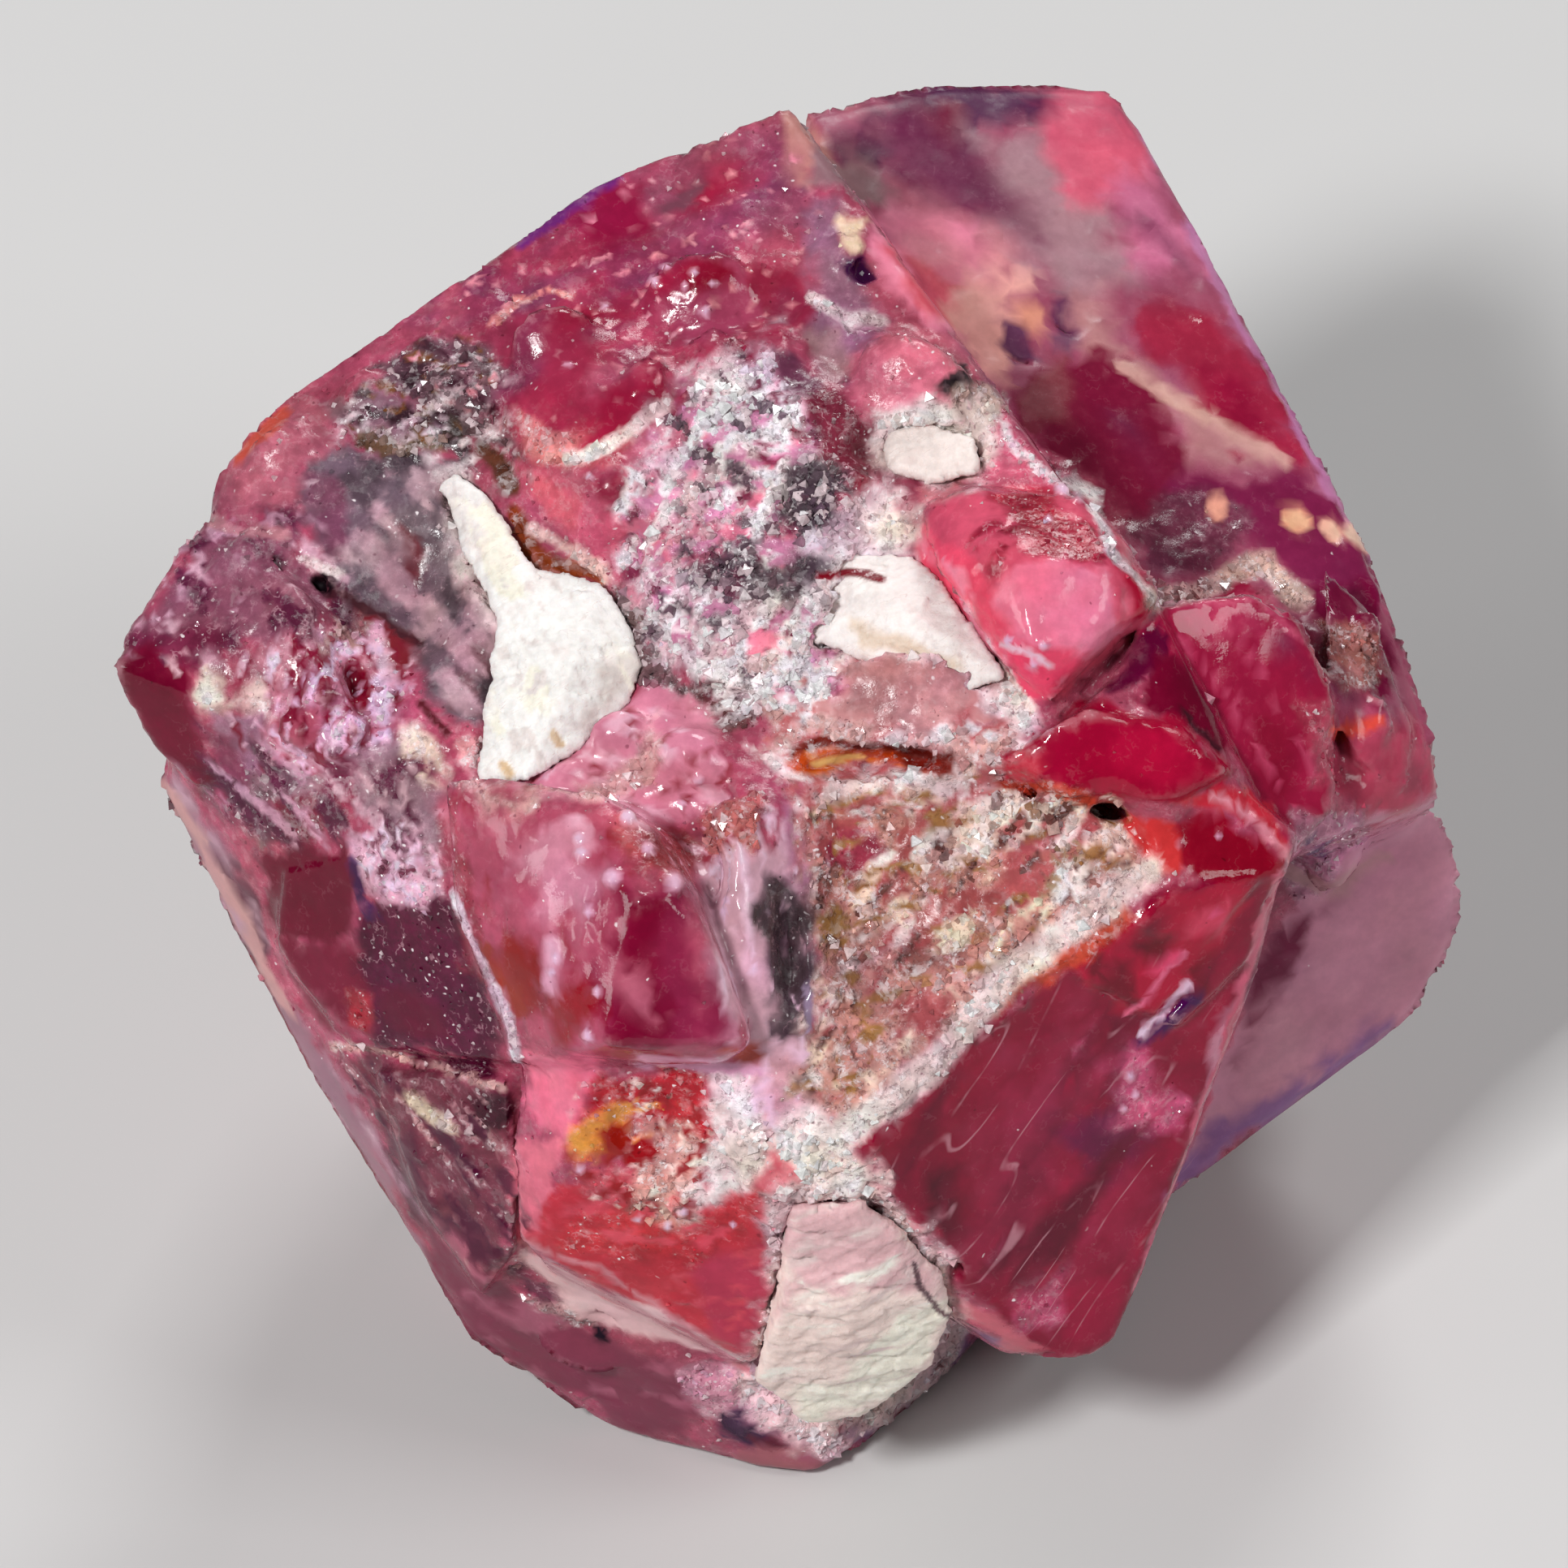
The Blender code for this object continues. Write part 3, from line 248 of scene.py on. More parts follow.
    ("ledge russet", (126, 46, 52), "gem", 4, [(440, 752), (512, 786), (502, 822), (478, 800)]),
    ("ledge beige", (190, 150, 142), "crust", 4, [(402, 750), (452, 762), (440, 790), (402, 790)]),
    ("tip crimson", (118, 14, 50), "gem", 6, [
        (130, 815), (180, 798), (240, 830), (246, 882), (264, 962), (250, 980), (185, 915), (140, 850)]),
    ("tip bright", (146, 6, 52), "gem", 5, [(188, 902), (250, 958), (246, 975), (200, 935)]),
    ("tip mauve", (146, 60, 88), "star", 6, [(150, 810), (185, 812), (215, 850), (190, 860)]),
    ("left cream", (238, 220, 206), "crust", 9, [
        (238, 852), (262, 822), (292, 850), (330, 832), (344, 866), (300, 866), (256, 876)]),
    ("left lilac", (164, 130, 146), "wax", 6, [(272, 875), (332, 872), (325, 950), (300, 962), (270, 922)]),
    ("left plum", (140, 70, 94), "wax", 6, [(235, 890), (285, 900), (305, 960), (300, 1000), (262, 955)]),
    ("left grit", (152, 122, 126), "crust", 6, [
        (308, 952), (400, 948), (425, 1012), (365, 1015), (335, 1045), (300, 1005)]),
    ("left brown", (118, 42, 60), "speck", 6, [(330, 985), (400, 972), (432, 1002), (402, 1032),
        (342, 1035)]),
    ("grey mauve", (152, 128, 136), "wax", 8, [
        (415, 902), (480, 900), (562, 962), (558, 1045), (505, 1052), (440, 1005), (402, 955)]),
    ("purple patch", (110, 44, 70), "star", 10, [(385, 930), (430, 940), (442, 1000), (385, 992)]),
    ("slope cream", (236, 216, 196), "crust", 9, [(478, 888), (530, 918), (562, 960), (548, 972),
        (500, 946), (484, 920)]),
    ("pink shelf", (214, 160, 160), "crust", 5, [(560, 902), (612, 888), (602, 942), (562, 932)]),
    # the lower left
    ("round ruby", (104, 0, 40), "gem", 6, [
        (328, 1060), (372, 1038), (432, 1045), (442, 1092), (432, 1152), (382, 1172), (342, 1152),
        (322, 1100)]),
    ("below ruby", (118, 16, 52), "gem", 8, [
        (340, 1155), (430, 1160), (472, 1200), (462, 1275), (410, 1265), (358, 1205)]),
    ("ruby scar", (166, 50, 60), "speck", 5, [(430, 1232), (480, 1220), (492, 1258), (440, 1272)]),
    ("black plum", (82, 8, 48), "star", 8, [
        (455, 1108), (560, 1108), (602, 1190), (622, 1280), (625, 1315), (560, 1305), (480, 1282),
        (455, 1200),
        (440, 1130)]),
    ("plum glow", (92, 8, 46), "gem", 8, [(460, 1210), (540, 1220), (560, 1290), (490, 1278)]),
    ("clear bubbles", (224, 202, 204), "bubble", 4, [
        (438, 1032), (482, 1018), (542, 1050), (548, 1102), (500, 1118), (455, 1106), (438, 1070)]),
    ("brown face", (116, 60, 72), "wax", 10, [
        (405, 1290), (620, 1332), (642, 1400), (632, 1530), (655, 1565), (600, 1562), (520, 1502),
        (480, 1402),
        (430, 1322)]),
    ("brown face ink", (60, 10, 32), "star", 8, [(590, 1342), (642, 1342), (645, 1400), (600, 1392)]),
    ("brown face plum", (88, 26, 54), "gem", 8, [(478, 1400), (510, 1400), (535, 1500), (545, 1550),
        (505, 1500)]),
    ("outer strip", (160, 126, 136), "smooth", 10, [
        (140, 900), (190, 930), (260, 1030), (330, 1180), (400, 1290), (470, 1400), (500, 1520),
        (560, 1600),
        (520, 1600), (400, 1420), (260, 1150), (180, 980)]),
    ("outer strip dark", (104, 60, 74), "smooth", 8, [(262, 1060), (300, 1080), (360, 1230), (330, 1230)]),
    ("bottom mauve", (130, 60, 80), "smooth", 10, [
        (515, 1500), (600, 1562), (700, 1622), (745, 1642), (835, 1690), (860, 1780), (760, 1780),
        (690, 1730),
        (590, 1680), (520, 1590)]),
    ("bottom plum", (98, 38, 64), "speck", 8, [(630, 1540), (700, 1582), (745, 1625), (660, 1602)]),
    ("bottom grit", (172, 130, 132), "grain", 5, [(650, 1592), (735, 1600), (732, 1626), (660, 1612)]),
    ("bottom dark dot", (20, 0, 22), "hole", 5, [(726, 1622), (750, 1626), (750, 1650), (728, 1648)]),
    ("bottom clear", (206, 166, 176), "bubble", 5, [
        (838, 1690), (900, 1680), (932, 1700), (932, 1742), (880, 1748), (840, 1722)]),
    ("bottom navy", (50, 14, 70), "gem", 6, [
        (888, 1742), (930, 1732), (980, 1702), (1012, 1742), (1045, 1742), (1010, 1785), (940, 1785),
        (888, 1772)]),
    ("bottom maroon", (88, 12, 42), "gem", 6, [(930, 1772), (1022, 1752), (1012, 1795), (950, 1802)]),
    ("bottom peach", (166, 104, 110), "smooth", 6, [(915, 1790), (1045, 1785), (1010, 1840), (935, 1840)]),
    ("bottom lavender", (122, 90, 130), "smooth", 10, [
        (1000, 1800), (1060, 1740), (1150, 1640), (1240, 1655), (1110, 1780)]),
    # the granular middle
    ("granular", (212, 182, 190), "grain", 8, [
        (815, 460), (860, 440), (920, 420), (965, 418), (975, 520), (1005, 560), (1015, 640), (1005, 700),
        (1045, 780), (1040, 850), (900, 855), (830, 805), (790, 735), (778, 650), (800, 560)]),
    ("granular rose", (206, 150, 164), "grain", 8, [(815, 620), (880, 640), (880, 690), (800, 700),
        (785, 660)]),
    ("granular snow", (250, 242, 248), "grain", 30, [
        (876, 476), (930, 440), (968, 436), (990, 520), (1002, 592), (965, 602), (930, 562), (884, 545)]),
    ("granular snow left", (250, 242, 248), "grain", 26, [(812, 500), (862, 470), (878, 520), (842, 560),
        (802, 562)]),
    ("granular snow low", (250, 244, 246), "grain", 20, [(784, 752), (840, 742), (868, 790), (850, 826),
        (800, 806)]),
    ("granular wine", (150, 70, 94), "speck", 4, [(830, 498), (865, 500), (860, 520), (835, 522)]),
    ("granular ink", (84, 66, 76), "grain", 6, [(975, 600), (1042, 590), (1045, 650), (1005, 672),
        (968, 642)]),
    ("granular slate", (118, 98, 108), "grain", 6, [(915, 640), (1000, 640), (1000, 690), (900, 700)]),
    ("granular coal", (92, 72, 82), "grain", 6, [
        (870, 702), (910, 688), (1012, 690), (1012, 732), (960, 752), (900, 742)]),
    ("granular edge", (112, 86, 88), "grain", 6, [
        (765, 738), (802, 760), (835, 830), (882, 850), (862, 872), (802, 852), (775, 802)]),
    ("granular brown", (110, 60, 62), "crust", 6, [(860, 832), (940, 830), (962, 880), (900, 902),
        (862, 872)]),
    ("granular white", (244, 234, 238), "grain", 5, [(820, 745), (850, 745), (858, 790), (825, 800)]),
    ("dark block", (114, 44, 60), "speck", 6, [
        (960, 500), (1000, 458), (1042, 480), (1082, 558), (1112, 600), (1080, 614), (1042, 602),
        (1010, 562),
        (970, 532)]),
    ("dark block top", (110, 62, 82), "wax", 6, [(958, 420), (992, 430), (1012, 470), (972, 500),
        (955, 460)]),
    ("dark block end", (142, 24, 50), "gem", 4, [(1058, 590), (1112, 598), (1082, 614), (1050, 608)]),
    ("pink lump", (204, 120, 134), "wax", 8, [
        (1045, 432), (1110, 398), (1172, 418), (1202, 460), (1182, 500), (1132, 532), (1070, 505)]),
    # the pit in the pink lump painted nearly black: painted shade
    ("lump hole", (16, 0, 10), "hole", 3, [(1138, 474), (1180, 460), (1188, 482), (1170, 492),
        (1145, 486)]),
    ("lump ash", (190, 160, 152), "crust", 5, [(1162, 482), (1232, 480), (1222, 532), (1162, 542)]),
    ("nook rose", (204, 128, 130), "wax", 5, [(1118, 585), (1212, 582), (1182, 622), (1128, 625)]),
    ("nook white", (240, 220, 210), "chalk", 4, [(1075, 552), (1115, 538), (1205, 540), (1200, 592),
        (1120, 592)]),
    # the coral crystal
    ("coral", (214, 96, 116), "gloss", 5, [
        (1128, 662), (1150, 622), (1212, 600), (1300, 600), (1372, 650), (1432, 738), (1402, 782),
        (1302, 862),
        (1275, 868), (1240, 832), (1190, 762), (1138, 722)]),
    ("coral top", (204, 112, 132), "speck", 5, [(1198, 562), (1232, 508), (1335, 612), (1200, 602)]),
    ("coral rough", (168, 44, 62), "speck", 6, [(1222, 612), (1300, 618), (1365, 672), (1332, 694),
        (1268, 662)]),
    ("coral bright", (236, 92, 116), "gloss", 5, [
        (1138, 655), (1198, 690), (1240, 772), (1252, 822), (1190, 772), (1134, 712)]),
    ("coral facet", (250, 142, 160), "gloss", 5, [
        (1240, 702), (1310, 680), (1372, 720), (1382, 782), (1322, 812), (1250, 792), (1222, 742)]),
    ("coral foot", (230, 82, 110), "gloss", 5, [(1242, 796), (1332, 802), (1302, 852), (1272, 866),
        (1240, 832)]),
    ("coral edge", (182, 24, 60), "gem", 4, [(1368, 688), (1432, 736), (1402, 772), (1384, 722)]),
    # the centre
    ("pocket white", (248, 236, 228), "chalk", 5, [
        (1000, 690), (1100, 678), (1142, 730), (1202, 792), (1260, 865), (1150, 832), (1060, 802),
        (1020, 742)]),
    ("rosy beige", (204, 150, 144), "smooth", 10, [
        (1040, 802), (1200, 812), (1282, 872), (1252, 905), (1140, 905), (1040, 905), (988, 872)]),
    ("beige shade", (186, 146, 136), "wax", 6, [(1042, 812), (1180, 812), (1212, 862), (1130, 882),
        (1050, 872)]),
    ("lilac bit", (224, 180, 196), "crust", 6, [(980, 782), (1042, 792), (1040, 842), (990, 852)]),
    ("below beige", (204, 158, 152), "crust", 6, [(940, 880), (1260, 890), (1240, 960), (1180, 980),
        (960, 980)]),
    ("slit amber", (222, 130, 40), "gloss", 4, [
        (978, 932), (1020, 918), (1100, 926), (1160, 932), (1155, 955), (1120, 948), (1060, 945),
        (1000, 966),
        (974, 956)]),
    ("slit foot", (216, 190, 186), "crust", 5, [
        (1000, 966), (1060, 950), (1110, 952), (1160, 966), (1205, 962), (1200, 1005), (1000, 1005)]),
    # the rose crystal
    ("lumps", (214, 150, 164), "gloss", 8, [
        (740, 882), (800, 838), (862, 868), (895, 950), (885, 995), (822, 1012), (740, 995), (660, 992),
        (618, 962), (700, 930)]),
    ("lumps ginger", (188, 100, 96), "speck", 12, [
        (745, 1000), (800, 1012), (862, 1000), (885, 1062), (852, 1102), (800, 1082), (752, 1052)]),
    ("lumps salmon", (192, 108, 104), "crust", 6, [(862, 990), (945, 985), (942, 1062), (882, 1082)]),
    ("rose", (174, 86, 106), "gloss", 8, [
        (548, 958), (600, 958), (642, 990), (742, 1002), (792, 1092), (852, 1092), (935, 1305), (740, 1305),
        (640, 1262), (598, 1182), (556, 1100)]),
    ("rose left", (136, 40, 56), "speck", 14, [
        (550, 990), (575, 1045), (606, 1085), (600, 1130), (640, 1180), (676, 1205), (676, 1240),
        (645, 1250),
        (610, 1215), (570, 1145), (552, 1070)]),
    ("rose side", (186, 132, 146), "gloss", 16, [(852, 1060), (885, 1080), (935, 1290), (880, 1296),
        (850, 1120)]),
    ("rose trapezoid", (140, 44, 76), "gem", 20, [
        (768, 1085), (848, 1090), (898, 1282), (830, 1298), (758, 1298), (732, 1240), (755, 1155)]),
    ("rose heart", (122, 8, 50), "gem", 22, [(772, 1100), (812, 1110), (815, 1292), (765, 1292),
        (750, 1200)]),
    ("rose ember", (144, 20, 16), "gem", 14, [(606, 1160), (640, 1165), (672, 1205), (668, 1245),
        (640, 1256), (612, 1205)]),
    ("rose ember low", (148, 22, 36), "gem", 14, [(684, 1225), (720, 1205), (745, 1235), (732, 1280),
        (690, 1275)]),
    ("rose russet", (150, 66, 66), "speck", 12, [(786, 1010), (850, 1005), (862, 1085), (790, 1085)]),
    ("coral under rose", (236, 130, 150), "gloss", 5, [
        (648, 1296), (745, 1302), (725, 1352), (700, 1402), (668, 1382), (648, 1342)]),
    # the seam beside it
    ("seam", (208, 186, 188), "gloss", 10, [
        (872, 1062), (950, 1040), (990, 1000), (1005, 1100), (998, 1300), (950, 1330), (902, 1240),
        (860, 1100)]),
    ("seam lilac", (180, 136, 158), "gloss", 10, [(958, 982), (1018, 1022), (1030, 1120), (1002, 1140),
        (975, 1080)]),
    ("seam core", (84, 76, 78), "wax", 12, [
        (950, 1092), (985, 1100), (998, 1180), (992, 1280), (962, 1270), (942, 1182)]),
    ("seam foot", (214, 180, 176), "wax", 6, [(938, 1310), (1000, 1300), (1010, 1380), (960, 1410),
        (935, 1380)]),
    # the crimson crystal's crusted face
    ("crusted", (196, 140, 128), "crust", 8, [
        (985, 1000), (1200, 960), (1362, 990), (1422, 1070), (1300, 1152), (1160, 1272), (1042, 1392),
        (985, 1380), (995, 1290), (1005, 1130)]),
    ("crusted rose", (150, 60, 76), "speck", 6, [(1002, 1022), (1082, 1020), (1092, 1062), (1042, 1092),
        (1012, 1062)]),
    ("crusted cream", (250, 232, 212), "crust", 8, [
        (1140, 975), (1300, 978), (1372, 1002), (1395, 1050), (1300, 1052), (1200, 1035), (1130, 1020)]),
    ("crusted olive", (150, 126, 96), "crust", 8, [(1240, 1052), (1310, 1042), (1332, 1080), (1280, 1112),
        (1240, 1092)]),
    ("crusted brown", (148, 94, 86), "crust", 8, [(1080, 1132), (1180, 1112), (1222, 1152), (1180, 1192),
        (1100, 1202)]),
    ("crusted low", (206, 152, 138), "crust", 8, [(1002, 1292), (1122, 1282), (1100, 1342), (1032, 1362)]),
    # the crimson main face
    ("crimson", (136, 8, 52), "gem", 6, [
        (1050, 1412), (1180, 1290), (1322, 1190), (1420, 1100), (1575, 1060), (1545, 1180), (1455, 1450),
        (1400, 1650), (1320, 1690), (1250, 1650), (1100, 1482)]),
    ("crimson upper", (140, 6, 48), "gem", 24, [(1060, 1412), (1200, 1290), (1290, 1230), (1240, 1310),
        (1180, 1380), (1100, 1452)]),
    ("crimson dark", (86, 0, 34), "gem", 26, [(1112, 1440), (1180, 1425), (1192, 1522), (1150, 1525)]),
    ("crimson veil", (152, 40, 72), "gem", 40, [
        (1200, 1352), (1330, 1250), (1382, 1300), (1302, 1450), (1290, 1560), (1200, 1562)]),
    ("crimson low", (150, 30, 66), "gem", 30, [(1200, 1562), (1300, 1500), (1400, 1420), (1400, 1520),
        (1330, 1600), (1240, 1610)]),
    ("crimson purple", (104, 16, 66), "gem", 24, [(1300, 1380), (1390, 1350), (1420, 1410), (1330, 1440)]),
    ("crimson bloom", (196, 96, 130), "speck", 26, [(1350, 1290), (1420, 1290), (1440, 1370),
        (1380, 1385)]),
    ("step red", (176, 4, 56), "gem", 5, [
        (1338, 1152), (1450, 1100), (1545, 1085), (1502, 1162), (1432, 1252), (1380, 1252), (1330, 1202)]),
    ("step dark", (118, 0, 36), "gem", 4, [(1345, 1172), (1402, 1180), (1400, 1242), (1350, 1226)]),
    ("step pink", (206, 72, 96), "gem", 4, [(1450, 1122), (1512, 1112), (1502, 1152), (1460, 1152)]),
    ("step right", (150, 8, 56), "gem", 5, [(1470, 1212), (1530, 1150), (1500, 1290), (1440, 1310)]),
    ("step facet a", (112, 0, 30), "gem", 5, [(1398, 1162), (1444, 1150), (1426, 1186)]),
    ("step facet b", (116, 0, 34), "gem", 5, [(1458, 1192), (1492, 1168), (1480, 1216)]),
    # two small facets painted bright: painted highlights
    ("step glint c", (236, 96, 132), "gem", 5, [(1468, 1130), (1502, 1116), (1494, 1144)]),
    ("step glint d", (232, 90, 126), "gem", 5, [(1414, 1196), (1448, 1176), (1440, 1206)]),
    ("crimson fringe", (192, 72, 52), "earth", 7, [
        (1170, 1282), (1200, 1232), (1300, 1160), (1380, 1112), (1400, 1135), (1310, 1195), (1250, 1232)]),
    ("lower strip", (202, 112, 122), "smooth", 5, [
        (1072, 1462), (1130, 1522), (1202, 1592), (1295, 1672), (1240, 1668), (1160, 1602), (1125, 1542)]),
    ("crimson low bloom", (176, 84, 112), "speck", 18, [(1250, 1592), (1312, 1580), (1302, 1622),
        (1260, 1632)]),
    ("crimson magenta", (150, 10, 58), "gem", 6, [(1312, 1592), (1382, 1562), (1385, 1650), (1312, 1680)]),
    # the slab, the wedge and the plate
    ("plate", (164, 34, 72), "gem", 5, [
        (1432, 745), (1540, 722), (1602, 765), (1645, 860), (1635, 1000), (1592, 1052), (1520, 942),
        (1460, 832), (1400, 782)]),
    ("plate top", (176, 56, 90), "gem", 5, [(1440, 752), (1532, 734), (1592, 790), (1480, 790)]),
    ("plate right", (176, 76, 96), "speck", 6, [(1602, 872), (1655, 860), (1652, 962), (1612, 982)]),
    ("plate low", (146, 26, 58), "gem", 8, [(1530, 880), (1600, 900), (1600, 980), (1560, 980)]),
    ("wedge triangle", (94, 0, 52), "gem", 4, [(1362, 856), (1400, 790), (1425, 765), (1442, 792),
        (1422, 832), (1382, 852)]),
    ("dark triangle", (112, 2, 44), "gem", 5, [(1420, 800), (1462, 822), (1522, 932), (1480, 912),
        (1400, 862)]),
    ("slab", (158, 4, 52), "gem", 5, [
        (1228, 932), (1332, 868), (1450, 888), (1522, 950), (1442, 988), (1332, 982), (1240, 968)]),
    ("slab bright", (178, 14, 62), "gem", 8, [(1380, 900), (1450, 905), (1505, 950), (1430, 970),
        (1370, 950)]),
    ("slab left", (202, 62, 76), "gem", 5, [(1224, 950), (1252, 925), (1292, 940), (1272, 968)]),
    ("wedge", (146, 2, 38), "gem", 5, [
        (1440, 1012), (1500, 1000), (1582, 1060), (1560, 1088), (1480, 1082), (1440, 1042)]),
    ("wedge left", (206, 62, 60), "gloss", 5, [(1370, 998), (1442, 1010), (1455, 1072), (1420, 1075)]),
    ("wedge top", (196, 52, 66), "gloss", 5, [(1440, 985), (1500, 962), (1560, 990), (1585, 1045),
        (1500, 1000)]),
    ("glassy lump", (186, 142, 156), "bubble", 6, [
        (1590, 1000), (1682, 1000), (1702, 1062), (1650, 1112), (1602, 1122), (1580, 1072)]),
    ("glassy ink", (92, 52, 100), "bubble", 5, [(1602, 1040), (1642, 1030), (1632, 1062)]),
    # the pale crystal
    ("pale crystal", (204, 150, 166), "smooth", 8, [
        (1700, 1005), (1790, 970), (1830, 1100), (1800, 1200), (1750, 1280), (1560, 1390), (1430, 1490),
        (1500, 1280), (1580, 1132), (1640, 1100)]),
    ("pale crystal plum", (114, 26, 64), "smooth", 12, [
        (1560, 1152), (1640, 1122), (1602, 1182), (1572, 1242), (1520, 1292), (1540, 1202)]),
    ("pale crystal rim", (142, 104, 152), "smooth", 12, [(1430, 1490), (1480, 1400), (1600, 1330),
        (1720, 1250), (1740, 1290), (1560, 1400)]),
    # the orange crystal
    ("orange right", (206, 96, 106), "gloss", 6, [(930, 1402), (992, 1420), (1022, 1482), (960, 1485),
        (930, 1452)]),
    ("orange", (194, 56, 68), "gloss", 5, [(638, 1532), (690, 1448), (960, 1470), (988, 1510),
        (945, 1695), (900, 1675)]),
    ("orange pink", (186, 64, 88), "gem", 8, [(852, 1552), (982, 1510), (945, 1690), (870, 1645)]),
    ("orange rough", (198, 54, 62), "speck", 9, [
        (700, 1482), (830, 1510), (942, 1470), (952, 1502), (860, 1555), (700, 1535)]),
    ("orange left", (222, 130, 140), "gloss", 5, [(636, 1402), (702, 1402), (662, 1522), (636, 1532),
        (626, 1480)]),
    ("oval red", (178, 34, 46), "speck", 9, [(718, 1326), (868, 1322), (888, 1402), (850, 1422),
        (760, 1400), (700, 1420)]),
        ("oval flecks", (202, 92, 100), "speck", 5, [(698, 1432), (780, 1430), (792, 1482), (720, 1475)]),
    ("oval infill", (204, 146, 138), "crust", 9, [(762, 1390), (850, 1376), (882, 1442), (862, 1502),
        (790, 1496)]),
    ("oval white", (236, 216, 214), "crust", 8, [
        (868, 1318), (948, 1318), (942, 1432), (882, 1485), (850, 1482), (872, 1422), (896, 1402),
        (882, 1352)]),
    ("orange strip", (232, 206, 200), "smooth", 4, [
        (636, 1530), (700, 1556), (830, 1622), (925, 1682), (860, 1675), (740, 1625), (660, 1566)]),
]

